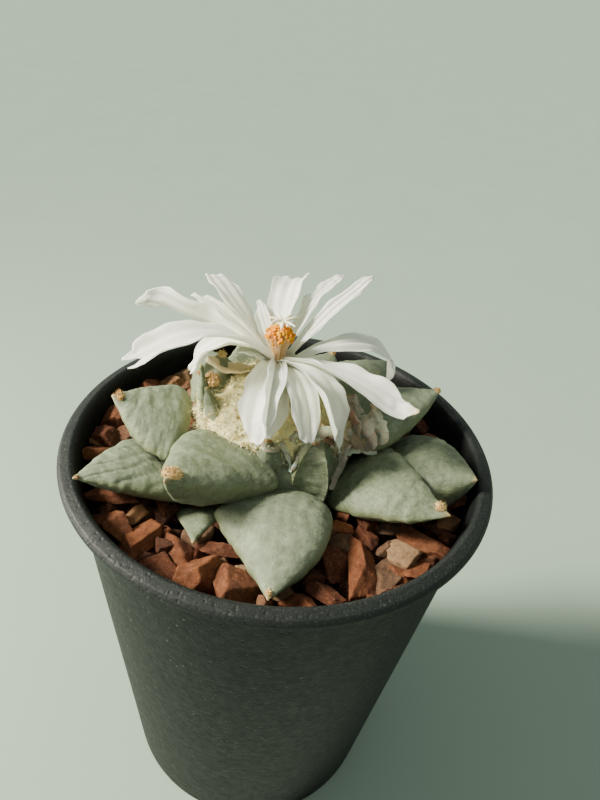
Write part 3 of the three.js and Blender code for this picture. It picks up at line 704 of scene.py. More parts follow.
def tubercle(t, material, seed):
    tip = around_crown(t["azimuth"], t["reach"], t["tip"])
    root = around_crown(t["azimuth"] + t["swing"], t["root"], t["root_height"])
    length = np.linalg.norm(tip - root)
    along = (tip - root) / length
    side = unit(np.cross([0, 0, 1], along))
    up = np.cross(along, side)
    lean = np.array(math.radians(t["lean"]))
    side, up = spun(side, along, lean), spun(up, along, lean)
    rows, sides = t["rows"], t["sides"]
    s = (1 - (1 - np.linspace(0, 1, rows)) ** 1.25)[:, None]
    angle = round_angles(sides)[None]
    angle = angle + 0.18 * np.sin(2 * angle)
    c, d = np.cos(angle), np.sin(angle)
    tip_size = 0.5 * np.sqrt(held((1 - s) / 0.035))
    left = np.maximum(t["left"] * fullness(s, t["shoulder"], t["left_taper"]), tip_size)
    right = np.maximum(t["right"] * fullness(s, t["shoulder"], t["right_taper"]), tip_size)
    rise = fullness(s, t["shoulder"], 2)
    high = np.maximum(np.where(d >= 0, t["top"], t["keel"]) * rise, tip_size)
    power = np.where(d >= 0, 0.91, t["sharp"])
    across = np.sign(c) * np.abs(c) ** power * np.where(c >= 0, left, right)
    lift = np.sign(d) * np.abs(d) ** power * high
    middle = root + along * (s * length)[..., None] - up * (t["arch"] * 4 * s * (1 - s))[..., None]
    points = middle + side * across[..., None] + up * lift[..., None]
    out = grid_normals(points, wrap=True)
    out = out * np.sign(np.sum(out * (points - middle), axis=-1, keepdims=True) + 1e-9)
    fade = held(np.sin(np.clip(s, 0.02, 1) * math.pi) * 1.6)
    local = np.stack([s * length + 0 * across, across, lift], -1)
    relief = 0.28 * noise(points / 5.5, seed)
    relief = relief + 0.19 * t["wrinkle"] * rough(local / [1.5, 3.6, 3.6], seed + 1)
    relief += 0.05 * noise(points / 0.75, seed + 2)
    upper = held(d * 2)
    if t["ripple"]:
        wave = np.sin(across * 2.6 + 1.2 * noise(local / [9, 3, 3], seed + 3) * 2)
        near_root, to_right = held(1.25 - s * 1.3) ** 1.2, np.clip(0.9 + across / 12, 0.3, 1)
        relief += t["ripple"] * wave * upper * near_root * to_right
    if t["creases"]:
        bend = across + 1.6 * noise(local / [7, 9, 9], seed + 4) + 0.08 * (s * length - 9) ** 2 / 9
        fold = np.abs((bend / 2.7) % 1 - 0.5) * 2
        relief -= 0.42 * t["creases"] * (1 - held(fold / 0.35)) ** 2 * upper
    points = points + out * (relief * fade)[..., None]
    margin = np.abs(c) ** 16 * held(s * 3) * held((1.03 - s) * 6)
    end = held((s - 0.955) / 0.04) + 0 * c
    marks = np.stack([margin, end, t["olive_and_painted_shade"] + 0 * margin], -1)
    heap = Heap()
    heap.add_closed(points, marks)
    heap.build("tubercle_" + t["name"], material, "flesh")
    return heap, tip - along * 0.7 + up * 0.25, up


def make_stem(material):
    r, z = profile([(r, z, STEM_FILLET) for r, z in STEM], 2)
    angles = round_angles(STEM_SIDES)
    points = turned(r, z, angles, CROWN)
    outward = np.stack([np.cos(angles), np.sin(angles)], -1)
    points[..., :2] += 0.5 * noise(points / 6, 70)[..., None] * outward
    heap = Heap()
    heap.add_closed(points, (0, 0, 0.6))
    heap.build("stem", material, "flesh", ["cactus_body"])


# Stones

TINTS = {
    "brick": (98, 53, 32), "orange": (128, 75, 45), "bright": (146, 87, 53), "tan": (150, 108, 72),
    "cream": (164, 132, 97), "pink": (140, 98, 74), "dark": (84, 48, 31), "grey": (110, 84, 64),
}
# How often each tint comes up among the loose stones
ODDS = np.array([0.3, 0.25, 0.08, 0.08, 0.03, 0.08, 0.12, 0.06])
# The usual height of the stones' tops, and the height at which the wall's inside bounds them
STONE_TOP = 91.4
STONE_LEVEL = 90
WALL_GAP = 0.15
# Half a placed stone's length before its planes cut it, as a part of the length that is left
UNCUT = 0.6
# Placed stones longer than this get the finest mesh
FINE_LENGTH = 5.9
# How much of a stone's half height lies below its level
SUNK = 0.8
# Stones are left out near the stem, where they would not be seen
LOOSE = dict(tries=2600, reach=36.4, from_stem=14, least=1.7, most=3.2, packing=0.86)
UNDER = dict(count=200, reach=37.4, from_stem=13, height=86.9, level=84)


# A stone's cutting planes, how much they scatter and how near they come, how sharp its edges are, and the
# strength of its swells, lumps and grain
ROCK = dict(planes=10, scatter=0.36, near=0.58, sharp=90, edge=0.05, swell=0.05, lumps=0.02, grain=0.09)


def stone_shape(directions, seed):
    """Radii of a polyhedron with planes at random distances, and how near each point is to an edge"""
    rng = np.random.default_rng(seed)
    count = ROCK["planes"]
    k = np.arange(count) + 0.5
    z = 1 - 2 * k / count
    angle = k * GOLDEN + rng.uniform(-0.5, 0.5, count)
    flat = np.sqrt(1 - z * z)
    even = np.stack([flat * np.cos(angle), flat * np.sin(angle), z], -1)
    planes = unit(even + rng.normal(size=(count, 3)) * ROCK["scatter"])
    far = rng.uniform(ROCK["near"], 1.0, count)
    near = np.clip(directions @ planes.T / far, 0, None)
    first, second = np.sort(near, axis=1)[:, :-3:-1].T
    edge = held(1 - (first - second) / ROCK["edge"])
    return np.sum(near ** ROCK["sharp"], axis=1) ** (-1 / ROCK["sharp"]), edge


def stone(heap, middle, size, turn, tint, seed, level):
    """A stone: size is its half length, half width and half height, turn its own axes as columns"""
    directions, faces = SPHERES[level]
    radius, edge = stone_shape(directions, seed)
    swell = 1 + ROCK["swell"] * noise(directions * 2.2 + seed * 1.7, 5)
    radius = radius * (swell + ROCK["lumps"] * noise(directions * 6 + seed, 6))
    local = directions * radius[:, None] * np.asarray(size)
    points = middle + local @ turn.T
    points = points + unit(local @ turn.T) * (ROCK["grain"] * rough(points / 0.9, 8, 2))[:, None]
    reach = np.linalg.norm(points[:, :2], axis=1)
    points[:, :2] *= np.minimum(1, (inner_radius(points[:, 2]) - WALL_GAP) / reach)[:, None]
    worn = linear(tint) * (0.92 + 0.55 * edge * (0.6 + 0.4 * noise(points / 0.8, 9)))[:, None]
    heap.add(points, [faces], held(worn))


def loose_turn(rng, tilt=0.5):
    spin = Matrix.Rotation(rng.uniform(0, FULL_TURN), 3, "Z")
    lean = Matrix.Rotation(rng.normal() * tilt, 3, "X") @ Matrix.Rotation(rng.normal() * tilt, 3, "Y")
    return np.array(lean @ spin)


def screen_turn(px, angle, z, rng):
    """Axes of a stone whose length lies at an angle on the screen"""
    a = at_height(px, z)
    b = at_height((px[0] + 4 * math.cos(math.radians(angle)), px[1] - 4 * math.sin(math.radians(angle))), z)
    heading = unit(b - a)
    roll = Matrix.Rotation(rng.normal() * 0.18, 3, Vector(heading))
    lean = Matrix.Rotation(rng.normal() * 0.12, 3, "X")
    return np.array(roll @ lean) @ np.stack([heading, np.cross([0, 0, 1], heading), [0, 0, 1]], -1)


# Stones that stand out in the photograph: pixel, length and width in millimetres, angle on the screen,
# tint, and how far its middle stands above the usual height
PLACED = [
    ((106, 490), 7, 3.6, -5, "orange", 1.9), ((104, 520), 6.8, 4.2, -50, "orange", 1.6),
    ((110, 507), 3.6, 3, -70, "dark", 0.3), ((129, 515), 5.2, 3.4, 42, "tan", 0.2),
    ((138, 534), 8.6, 4.6, 42, "bright", 0.8), ((167, 508), 4, 3.4, 10, "dark", 0),
    ((131, 494), 2.6, 1.6, 10, "tan", -0.4), ((164, 542), 3.4, 3, 20, "dark", 0),
    ((165, 527), 2.6, 2, 30, "brick", -0.4), ((183, 548), 4.2, 3.4, -45, "orange", 0.2),
    ((160, 565), 7, 5, 18, "brick", -0.4), ((199, 571), 8.2, 7.6, 20, "bright", 0.8),
    ((235, 583), 7.2, 7.2, -50, "orange", 0.9), ((222, 546), 8.4, 2.6, -14, "brick", 0.2),
    ((220, 558), 3, 2.2, 0, "pink", -0.4), ((263, 602), 2.4, 2, 20, "pink", 0.4),
    ((242, 568), 3, 2, -50, "cream", 0.4), ((134, 556), 4.6, 3, 25, "dark", -1),
    ((347, 541), 4.8, 3.6, -15, "grey", 0.4), ((333, 558), 7.8, 5, 78, "brick", 0.4),
    ((362, 570), 10.4, 4.8, 80, "orange", 0.9), ((329, 591), 6.4, 3.2, -22, "brick", 0.5),
    ((303, 600), 4.6, 3, -28, "orange", 0), ((385, 573), 8, 4.4, 82, "grey", 0.2),
    ((368, 533), 5, 3, -35, "brick", 0.2), ((402, 549), 5.8, 3.8, -60, "cream", 1.2),
    ((388, 547), 3.4, 2.8, -20, "grey", 0), ((429, 544), 9, 5, -28, "orange", 0.9),
    ((418, 567), 6, 3.4, 18, "orange", 0.2), ((402, 573), 3.4, 2.6, 10, "bright", 0),
    ((458, 519), 5.2, 4, 62, "tan", 0.6), ((440, 527), 4, 3.2, 10, "dark", 0),
    ((454, 539), 3, 2.4, 0, "brick", 0), ((390, 527), 4.6, 2.6, 5, "grey", -0.4),
    ((349, 553), 2.6, 2.4, 0, "brick", -0.2), ((385, 592), 2.6, 1.6, 12, "pink", -0.4),
    ((367, 596), 3.2, 2, 10, "brick", -0.6), ((398, 586), 3.2, 2, 25, "dark", -0.6),
    ((105, 407), 7.8, 5.6, 30, "orange", 2.8), ((98, 430), 6, 5, 0, "brick", 2.4),
    ((125, 430), 6.6, 4, 22, "pink", 1.8), ((109, 441), 4, 2, 8, "pink", 0.5),
    ((96, 449), 6.6, 3.4, 6, "orange", 2.2), ((138, 383), 6.6, 5, -40, "orange", 1.6),
    ((160, 371), 6.2, 5.6, 8, "tan", 0.6), ((183, 366), 4.6, 4.4, -60, "cream", 1),
    ((184, 382), 4.8, 4, 10, "pink", 0.4), ((160, 386), 5, 2.4, 0, "pink", -0.4),
    ((426, 422), 5, 4, -60, "brick", 0.6), ((194, 390), 3, 3, 60, "pink", 0.2),
    ((252, 597), 3, 2, -30, "dark", -0.4), ((315, 576), 4, 3, 40, "dark", -0.8),
    ((433, 560), 4, 3, 30, "brick", 0), ((205, 550), 3.4, 2.6, 10, "brick", -0.8),
]


def shaded(tint, factor):
    return tuple(np.clip(np.array(TINTS[tint]) * factor, 0, 255))


def stem_distance(x, y):
    return math.hypot(x - CROWN[0], y - CROWN[1])


def make_gravel(material):
    rng = np.random.default_rng(SEEDS["stones"])
    placed, loose, under = Heap(), Heap(), Heap()
    wall = inner_radius(STONE_LEVEL)
    spots = []
    for index, (px, long, wide, angle, tint, lift) in enumerate(PLACED):
        tall = 0.5 * (wide * 0.85 + 0.4)
        middle = at_height(px, STONE_TOP - 0.6 + lift) - [0, 0, tall * SUNK]
        middle[:2] *= min(1, (wall - 0.5 - wide / 2) / np.linalg.norm(middle[:2]))
        turn = screen_turn(px, angle, middle[2], rng)
        shade = shaded(tint, rng.uniform(0.92, 1.08))
        level = 5 if long > FINE_LENGTH else 4
        stone(placed, middle, (long * UNCUT, wide * UNCUT, tall), turn, shade, 300 + index, level)
        spots.append((*middle[:2], (long + wide) / 4))
    names = list(TINTS)
    for attempt in range(LOOSE["tries"]):
        radius, angle = LOOSE["reach"] * math.sqrt(rng.random()), rng.uniform(0, FULL_TURN)
        x, y, _ = around(angle, radius)
        half = rng.uniform(LOOSE["least"], LOOSE["most"])
        if stem_distance(x, y) < LOOSE["from_stem"] or radius + half > wall - 0.3:
            continue
        if any(math.hypot(x - a, y - b) < (half + c) * LOOSE["packing"] for a, b, c in spots):
            continue
        spots.append((x, y, half))
        shade = shaded(names[rng.choice(len(names), p=ODDS / ODDS.sum())], rng.uniform(0.8, 1.12))
        size = half * np.array([rng.uniform(1.05, 1.4), rng.uniform(0.9, 1.1), rng.uniform(0.7, 0.95)])
        middle = np.array([x, y, STONE_TOP - 0.7 + rng.normal() * 0.5 - size[2] * SUNK])
        stone(loose, middle, size, loose_turn(rng), shade, 900 + attempt, 4 if y < 4 else 3)
    for index in range(UNDER["count"]):
        radius = UNDER["reach"] * math.sqrt((index + 0.5) / UNDER["count"])
        x, y, _ = around(index * GOLDEN, radius)
        if stem_distance(x, y) < UNDER["from_stem"]:
            continue
        # Painted shade: the lower layer of stones is darkened to 0.75, for the shade between the stones
        # above
        shade = shaded(("brick", "dark", "orange")[index % 3], 0.75)
        size = rng.uniform(1.9, 2.6) * np.array([1.2, 1, 0.8])
        inward = min(1, (inner_radius(UNDER["level"]) - size[0]) / radius)
        middle = np.array([x * inward, y * inward, UNDER["height"] + rng.uniform(-0.5, 0.6)])
        stone(under, middle, size, loose_turn(rng), shade, 5000 + index, 3)
    placed.build("stones_placed", material, "gravel", ["gravel"])
    loose.build("stones_loose", material, "gravel")
    under.build("stones_under", material, "gravel")


# Flower

THROAT = np.array([-2.5, 5.5, 111.4])
FLOWER_FOOT = THROAT * [1, 1, 0]
# The tube round the stamens: radius, height and fillet of each corner, closed by a cup
TUBE = [(0.05, 104, 0), (2.1, 104, 0.6), (2.7, 105.5, 0.8), (2.9, 108.6, 1), (3.7, 111.9, 0.5),
        (3.2, 112, 0.2), (2.3, 111.6, 0.5), (1.6, 110.4, 0.4), (0.05, 110.3, 0)]
TUBE_SIDES = 48
FLUTES = 12
TEPAL_THICK = 0.17
BLADE_STEPS = 240
TEPAL = dict(twist=0, untwist=0, cup=0.2, curl=0, root=2, drop=0, tip=0.82, round=0.28, blunt=2.5,
             notch=(), pleat=0.38, ruffle=0.4, crumple=0.6, tan=0, rows=64, columns=25)
TEPAL_COLUMNS = "name azimuth turn rise fall length half".split()
TEPALS = [{**TEPAL, **dict(zip(TEPAL_COLUMNS, row)), **rest} for *row, rest in (
    ("far_left", 165, -2, 25, -3, 29.7, 4.1, dict(twist=39, untwist=25, cup=0.3, curl=-38,
          notch=((0.45, 0.06, 0.2),), crumple=0.5)),
    ("left", 204, 4, 53, -45, 30, 4.7, dict(twist=27, untwist=-31, cup=0.3, curl=24, round=0.17,
          notch=((0.1, 0.1, 0.16), (-0.6, 0.04, 0.15)), ruffle=0.5)),
    ("behind_left", 145, -7, 23, -3, 23, 3.3, dict(twist=36, untwist=-25, curl=-17)),
    ("back_left", 140, -24, 39, -2, 24.9, 3.6, dict(twist=41, untwist=-32, cup=0.1, curl=-42, blunt=3,
          root=2.9, notch=((0.1, 0.08, 0.25),), crumple=0.5)),
    ("short", 119, -6, 39, 31, 11.6, 1.5, dict(twist=-32, untwist=-18, cup=0.3)),
    ("back", 91, -10, 60, -30, 25, 3.5, dict(twist=-50, untwist=45, cup=0.3, blunt=3, tip=0.95, round=0.12,
          notch=((0.2, 0.03, 0.3),))),
    ("back_right", 62, -3, 51, -3, 24.7, 2.3, dict(twist=-40, untwist=28, ruffle=0.5, crumple=0.7)),
    ("long_right", 37, 4, 47, 21, 23.6, 1.8, dict(cup=0.1, curl=4, blunt=3.5, root=2.5)),
    ("arching_right", 14, 34, 34, -73, 32, 3, dict(twist=-13, untwist=47, cup=-0.1, curl=-55, root=3.5)),
    ("right", -22, -9, 17, -33, 28, 3.7, dict(twist=-38, untwist=62, cup=0.3, curl=95, blunt=1.8,
          crumple=0.9, tan=1)),
    ("front_right", -44, -12, 28, -86, 23.4, 4.3, dict(twist=-7, untwist=-34, cup=0.4, curl=28, blunt=1.6,
          crumple=0.5, notch=((-0.4, 0.06, 0.12),))),
    ("front_middle", -62, -16, 24, -62, 20, 3.1, dict(twist=-22, untwist=12, curl=14)),
    ("front_left", -97, 0, 24, -72, 19.8, 4, dict(twist=8, untwist=22, cup=0.3, curl=-8)),
    ("front", -87, -8, 17, -50, 18.6, 3.4, dict(twist=-36, untwist=-22, cup=0.3, curl=-6)),
    ("left_front", 176, 22, 41, -75, 19.2, 2.8, dict(twist=2, untwist=-4, cup=0.3, blunt=3, root=1.5)),
    ("inner_curl", 190, -7, 45, -23, 6.5, 2.6, dict(twist=-10, untwist=17, cup=0.3)),
    ("outer_strap", 199, -6, -8, 34, 12.5, 2, dict(twist=20, untwist=-30, cup=0.5, root=2.4, drop=2.6,
          curl=20, tan=2)),
)]


def headings(t, s):
    heading = np.radians(t["azimuth"] + t["turn"] * s)
    slope = np.radians(t["rise"] + (t["fall"] - t["rise"]) * s + t["curl"] * held((s - 0.7) / 0.3) ** 2)
    along = np.stack([np.cos(heading) * np.cos(slope), np.sin(heading) * np.cos(slope), np.sin(slope)], -1)
    side = np.stack([-np.sin(heading), np.cos(heading), 0 * heading], -1)
    return along, side


def blade_frame(t, start):
    """Middle line, sideways and upward directions of a blade from root to tip"""
    steps = BLADE_STEPS
    s = np.linspace(0, 1, steps + 1)
    along, side = headings(t, s)
    mids, _ = headings(t, (s[1:] + s[:-1]) / 2)
    middle = start + np.concatenate([np.zeros((1, 3)), np.cumsum(mids, axis=0)]) * t["length"] / steps
    up = np.cross(along, side)
    turn = np.radians(t["twist"] + t["untwist"] * s)
    return s, middle, spun(side, along, turn), spun(up, along, turn)


def sampled(s, table, where):
    return np.stack([np.interp(where, s, table[:, i]) for i in range(3)], -1)


def blade(heap, t, start, thickness, seed, marks_of):
    """A thin closed blade with pleats, ruffled margins and a shaped tip"""
    s, middle, side, up = blade_frame(t, start)
    rows, columns = t["rows"], t["columns"]
    u = np.linspace(0, 1, rows)[:, None]
    a = np.sin(np.linspace(-1, 1, columns) * math.pi / 2)[None]
    cut = t["round"] * np.abs(a) ** t["blunt"]
    for place, depth, width in t["notch"]:
        cut = cut + depth * np.exp(-(((a - place) / width) ** 2))
    cut = cut + 0.016 * noise(np.stack([a * 7, 0 * a + seed, 0 * a], -1), 11)
    where = u * (1 - cut)
    wide = np.where(where < 0.55, 0.38 + 0.62 * np.sin(held(where / 0.55) * math.pi / 2),
                    1 - (1 - t["tip"]) * held((where - 0.55) / 0.45) ** 2)
    half = np.maximum(t["half"] * wide, 0.3)
    point = sampled(s, middle, where)
    sideways, upward = sampled(s, side, where), sampled(s, up, where)
    local = np.stack([where * t["length"] + 0 * a, a * half, 0 * half + seed * 3.3], -1)
    grow = held(where * 2.2)
    lift = t["cup"] * half * a**2
    folds = np.cos(a * math.pi * 3 + seed) * 0.5 + 0.5 * noise(local / [14, 0.9, 1], seed)
    lift = lift + t["pleat"] * grow * folds
    lift = lift + 0.3 * grow * noise(local / [6, 4, 1], seed + 1)
    wave = noise(local / [2.6, 40, 1] + [0, np.sign(a).mean() + 2, 0], seed + 2)
    wave = wave + 0.5 * np.sin(where * 23 + np.sign(a) + seed)
    lift = lift + t["ruffle"] * np.abs(a) ** 3 * grow * wave
    crumple = t["crumple"] * held((where - 0.72) / 0.28)
    lift = lift + crumple * (noise(local / 1.7, seed + 5) + 0.5 * noise(local / 0.8, seed + 6))
    spread = half * a * (1 + 0.05 * noise(local / [3.5, 30, 1], seed + 4))
    surface = point + sideways * spread[..., None] + upward * lift[..., None]
    thick = thickness * (0.55 + 0.45 * np.sqrt(1 - np.abs(a) ** 4)) * np.clip(1.6 - where, 0.7, 1)
    heap.add_sheet(surface, thick, marks_of(where, a + 0 * where, local))


def tepal_marks(t, seed):
    def marks(where, a, local):
        lines = noise(local / [30, 0.35, 1], seed + 7) * 0.5 + 0.5
        vein = held(lines * 1.3 - 0.35) * 0.8 + 0.5 * np.exp(-((a / 0.16) ** 2))
        reach = 0.94 if t["tan"] == 1 else 0.0
        tan = held((where - reach) / 0.04) * (0.9 if t["tan"] else 0)
        return np.stack([vein, tan, held(0.55 - where * 2.6)], -1)

    return marks


def make_bloom(material):
    make_tube(material)
    for index, t in enumerate(TEPALS):
        start = THROAT + around(math.radians(t["azimuth"]), t["root"], -t["drop"])
        heap = Heap()
        blade(heap, t, start, TEPAL_THICK, 40 + index * 5, tepal_marks(t, index))
        heap.build("tepal_" + t["name"], material, "petal")


def make_tube(material):
    r, z = profile(TUBE, 0.5)
    angles = round_angles(TUBE_SIDES)
    flute = 1 + 0.04 * np.cos(angles * FLUTES)[None] * held((z - 105) / 4)
    heap = Heap()
    heap.add_closed(turned(r * flute, z, angles, THROAT), (0.2, 0, 0.8))
    heap.build("flower_tube", material, "petal", ["bloom"])


def rod(heap, path, radius, mark, sides):
    """A closed round rod along a path, with a radius at each of its points"""
    heap.add_closed(rings(path, radius, [0.31, 0.17, 0.93], sides), mark)


FILAMENTS = dict(count=118, bottom=110.8, low=116.2, high=117.7, radius=0.095)
FILAMENT_PALE, FILAMENT_WARM = linear((255, 240, 204)), linear((252, 216, 144))
ANTHER = np.array([0.24, 0.3, 0.42])
STYLE = dict(bottom=110.9, top=119.2, radius=0.42, lobes=7, lobe_length=2.9)


def make_stamens(material):
    rng = np.random.default_rng(SEEDS["stamens"])
    heap = Heap()
    t = np.linspace(0, 1, 7)[:, None]
    directions, faces = SPHERES[2]
    for index in range(FILAMENTS["count"]):
        part = (index + 0.5) / FILAMENTS["count"]
        out = around(index * GOLDEN + rng.uniform(-0.2, 0.2))
        foot = FLOWER_FOOT + out * (0.4 + 0.8 * part) + [0, 0, FILAMENTS["bottom"]]
        fall = (FILAMENTS["high"] - FILAMENTS["low"]) * part**2.2
        high = FILAMENTS["high"] - fall + rng.uniform(-0.35, 0.35)
        head = FLOWER_FOOT + out * (0.6 + 2.3 * part**0.8 + rng.uniform(-0.2, 0.2)) + [0, 0, high]
        belly = out * (-0.35) * np.sin(t * math.pi)
        path = foot + (head - foot) * t + belly + rng.normal(size=3) * 0.1 * np.sin(t * math.pi)
        tint = FILAMENT_PALE + (FILAMENT_WARM - FILAMENT_PALE) * rng.random()
        rod(heap, path, np.full(7, FILAMENTS["radius"]), tint, 5)
        lean = loose_turn(rng, 0.6)
        size = ANTHER * rng.uniform(0.85, 1.2)
        uneven = 1 + 0.16 * noise(directions * 3.4 + index, 21)
        grain = head + (directions * uneven[:, None] * size) @ lean.T
        gold = (240 + rng.integers(-14, 9), 160 + rng.integers(-26, 30), 6 + rng.integers(0, 16))
        heap.add(grain, [faces], linear(gold))
    heap.build("stamens_full", material, "stamen", ["stamens"])


def make_pistil(material):
    rng = np.random.default_rng(SEEDS["pistil"])
    heap = Heap()
    t = np.linspace(0, 1, 9)[:, None]
    foot, head = FLOWER_FOOT + [0, 0, STYLE["bottom"]], FLOWER_FOOT + [0.3, 0.2, STYLE["top"]]
    cream = linear((244, 240, 214))
    rod(heap, foot + (head - foot) * t, STYLE["radius"] - 0.08 * t[:, 0], cream, 10)
    for lobe in range(STYLE["lobes"]):
        angle = (lobe + 0.3) / STYLE["lobes"] * 2 * math.pi + rng.uniform(-0.15, 0.15)
        reach = STYLE["lobe_length"] + 0.5 * math.cos(angle) + rng.uniform(-0.4, 0.4)
        rise = np.array([0, 0, 1.0]) * (1.5 * t - 1.1 * t**2) * rng.uniform(0.7, 1.3)
        path = head + around(angle) * reach * t + rise
        rod(heap, path, 0.22 + 0.09 * np.sin(t[:, 0] * math.pi) - 0.08 * t[:, 0], cream, 8)
    heap.build("pistil_full", material, "pistil", ["pistil"])


# Wool

WOOL_MIDDLE = np.array([-2, 2.5, 99.5])
WOOL_SIZE = np.array([16.4, 14, 10.4])
HAIR = dict(radius=0.06, curl=0.55, short=0.6, long=1.7)
FINE_HAIR = dict(radius=0.035, curl=0.5)
WOOL = dict(lowest=-0.75, rows=104, sides=280, grains=560, hairs=4600)


def wool_surface(polar, turn):
    """A mound of puffy lumps: points for heights polar and headings turn, in radians"""
    out = np.stack([np.cos(polar) * np.cos(turn), np.cos(polar) * np.sin(turn), np.sin(polar)], -1)
    points = WOOL_MIDDLE + out * (WOOL_SIZE - 0.8)
    warped = points + 0.5 * noise(points / 1.9, 50)[..., None]
    swell = 0.8 * noise(points / 4.2, 51) + 0.7 * (0.5 - np.abs(noise(warped / 1.9, 52)))
    swell += 0.42 * (0.5 - np.abs(noise(warped / 0.85, 53))) + 0.1 * noise(points / 0.4, 54)
    return points + out * swell[..., None], out


def wool_stain(points):
    """Brown at the right, and in patches"""
    right = held((points[..., 0] - 7.5) / 6) * 0.6
    patch = held(noise(points / 2.6, 57) * 1.5 - 0.55) * 0.25
    return held(right + patch)


def lumps(heap, middles, radii, marks, rng):
    """Small grains, each an uneven ball"""
    directions, faces = SPHERES[1]
    count, each = len(middles), len(directions)
    size = radii[:, None] * rng.uniform(0.7, 1.3, (count, 3))
    shift = rng.uniform(0, 90, (count, 1, 1))
    body = directions[None] * (1 + 0.3 * noise(directions[None] * 1.9 + shift, 3))[..., None]
    points = middles[:, None] + body * size[:, None]
    heap.add(points, [copied(faces, count, each)], np.repeat(marks, each, axis=0))


def wool_spots(rng, lowest, count):
    """Random heights and headings on the wool, in radians"""
    return np.arcsin(rng.uniform(lowest, 0.97, count)), rng.uniform(0, FULL_TURN, count)


def make_wool(material):
    rng = np.random.default_rng(SEEDS["wool"])
    polar = np.linspace(WOOL["lowest"], math.pi / 2 - 0.02, WOOL["rows"])[:, None]
    turn = round_angles(WOOL["sides"])[None]
    points, _ = wool_surface(polar + 0 * turn, turn + 0 * polar)
    stain = wool_stain(points)
    felt, hairs = Heap(), Heap()
    felt.add_closed(points, np.stack([stain, 0 * stain, 0 * stain], -1))
    tree = felt.tree()
    felt.build("wool_felt", material, "wool", ["crown_wool"])
    count = WOOL["grains"]
    bases, outward = wool_surface(*wool_spots(rng, -0.2, count))
    stain = wool_stain(bases)
    marks = np.stack([stain, (rng.random(count) < 0.1) * 1.0, 0 * stain], -1)
    lumps(hairs, bases + outward * 0.05, rng.uniform(0.16, 0.46, count), marks, rng)
    count = WOOL["hairs"]
    polar, turn = wool_spots(rng, -0.25, count)
    clump = np.round(turn * 12) * 17 + np.round(polar * 8)
    bases, outward = wool_surface(polar, turn)
    swirl = np.stack([np.cos(clump * 3.1), np.sin(clump * 1.7), np.cos(clump)], -1)
    leaning = unit(np.cross(outward, swirl)) * 0.8 + outward * rng.uniform(0.2, 1.1, count)[:, None]
    leaning = unit(leaning + rng.normal(size=(count, 3)) * 0.4)
    stain = wool_stain(bases)
    marks = np.stack([stain * 0.8, 0 * stain, 0 * stain], -1)
    lengths = rng.uniform(HAIR["short"], HAIR["long"], count)
    fibres(hairs, bases - outward * 0.1, leaning, lengths, HAIR["radius"], HAIR["curl"], rng, marks)
    hairs.build("wool_hairs", material, "wool")
    return tree


# Areoles

# The woolly spots near the tips: pixel, half length and half width in millimetres, and tint, from 0 cream
# to 1 brown
AREOLES = [
    ((172, 475), 1.55, 1.25, 0.42), ((120, 396), 1.3, 0.6, 0.6), ((440, 507), 0.95, 0.8, 0.4),
    ((429, 389), 0.9, 0.6, 0.6), ((340, 355), 0.8, 0.6, 0.5), ((213, 380), 1.5, 1.3, 0.45),
    ((222, 354), 0.8, 0.6, 0.15), ((269, 593), 0.6, 0.5, 0.4), ((77, 477), 0.35, 0.25, 0.9),
]
USUAL_AREOLE = (0.75, 0.6, 0.55)
# An areole nearer than this to a tip is that tubercle's own
APART = 4
AREOLE_TINTS = np.array([linear(c) for c in ((246, 224, 164), (206, 162, 98), (124, 90, 54))])


def tuft(heap, middle, out, long, wide, tint, rng):
    """A felted ball with grains and short hairs on it"""
    side = unit(np.cross(out, [0.2, 0.1, 0.97]))
    axes = np.stack([side, np.cross(out, side), out], -1)
    size = np.array([long, wide, 0.75 * min(long, wide)])
    directions, faces = SPHERES[2]
    uneven = 1 + 0.2 * noise(directions * 2.3 + middle, 61) + 0.14 * noise(directions * 6, 62)
    body = directions * uneven[:, None]

    def tints(count):
        mix = held(tint + rng.normal(size=count) * 0.28)[:, None] * 2
        cream, tan, brown = AREOLE_TINTS
        return cream * held(1 - mix) + tan * (1 - np.abs(1 - mix)) + brown * held(mix - 1)

    heap.add(middle + (body * size) @ axes.T, [faces], tints(len(body)))
    for count, kind in ((int(26 * long), "grains"), (int(120 * long), "hairs")):
        where = unit(rng.normal(size=(count, 3)) + [0, 0, 0.5])
        spots = middle + (where * size) @ axes.T
        if kind == "grains":
            lumps(heap, spots, rng.uniform(0.1, 0.26, count) * min(1, long + 0.2), tints(count), rng)
        else:
            reach = rng.uniform(0.25, 0.6, count) * (0.4 + 0.5 * long)
            leaning = unit(where @ axes.T + rng.normal(size=(count, 3)) * 0.5)
            fibres(heap, spots, leaning, reach, FINE_HAIR["radius"], FINE_HAIR["curl"], rng, tints(count))


def hit(tree, px):
    """Where a pixel's line of sight first meets the plant, and which way the surface faces"""
    place, facing, _, _ = tree.ray_cast(Vector(EYE), Vector(sight(px)))
    if place is None:
        return None
    facing = np.array(facing)
    return np.array(place), facing * (-1 if facing @ sight(px) > 0 else 1)


def first_hit(trees, px):
    """The nearest of several trees' hits"""
    found = [h for h in (hit(tree, px) for tree in trees) if h]
    return min(found, key=lambda h: np.linalg.norm(h[0] - EYE)) if found else None


def make_areoles(material, bodies):
    rng = np.random.default_rng(SEEDS["areoles"])
    heap = Heap()
    trees = [body[0].tree() for body in bodies]
    taken = []
    for px, long, wide, tint in AREOLES:
        found = first_hit(trees, px)
        if found:
            middle = found[0] + found[1] * 0.12 * wide
            taken.append(middle)
            tuft(heap, middle, found[1], long, wide, tint, rng)
    for shape, (_, tip, up) in zip(TUBERCLES, bodies):
        if shape["name"] not in BALD and all(np.linalg.norm(tip - other) > APART for other in taken):
            tuft(heap, tip, up, *USUAL_AREOLE, rng)
    heap.build("areoles", material, "wool")
    return trees


# Dry remains

DRY_TINTS = {
    "cream": (228, 216, 190), "pink": (206, 190, 172), "brown": (174, 150, 122), "white": (240, 234, 220),
    "rust": (172, 138, 104),
}
SHRED = dict(rows=52, columns=15, thick=0.1)
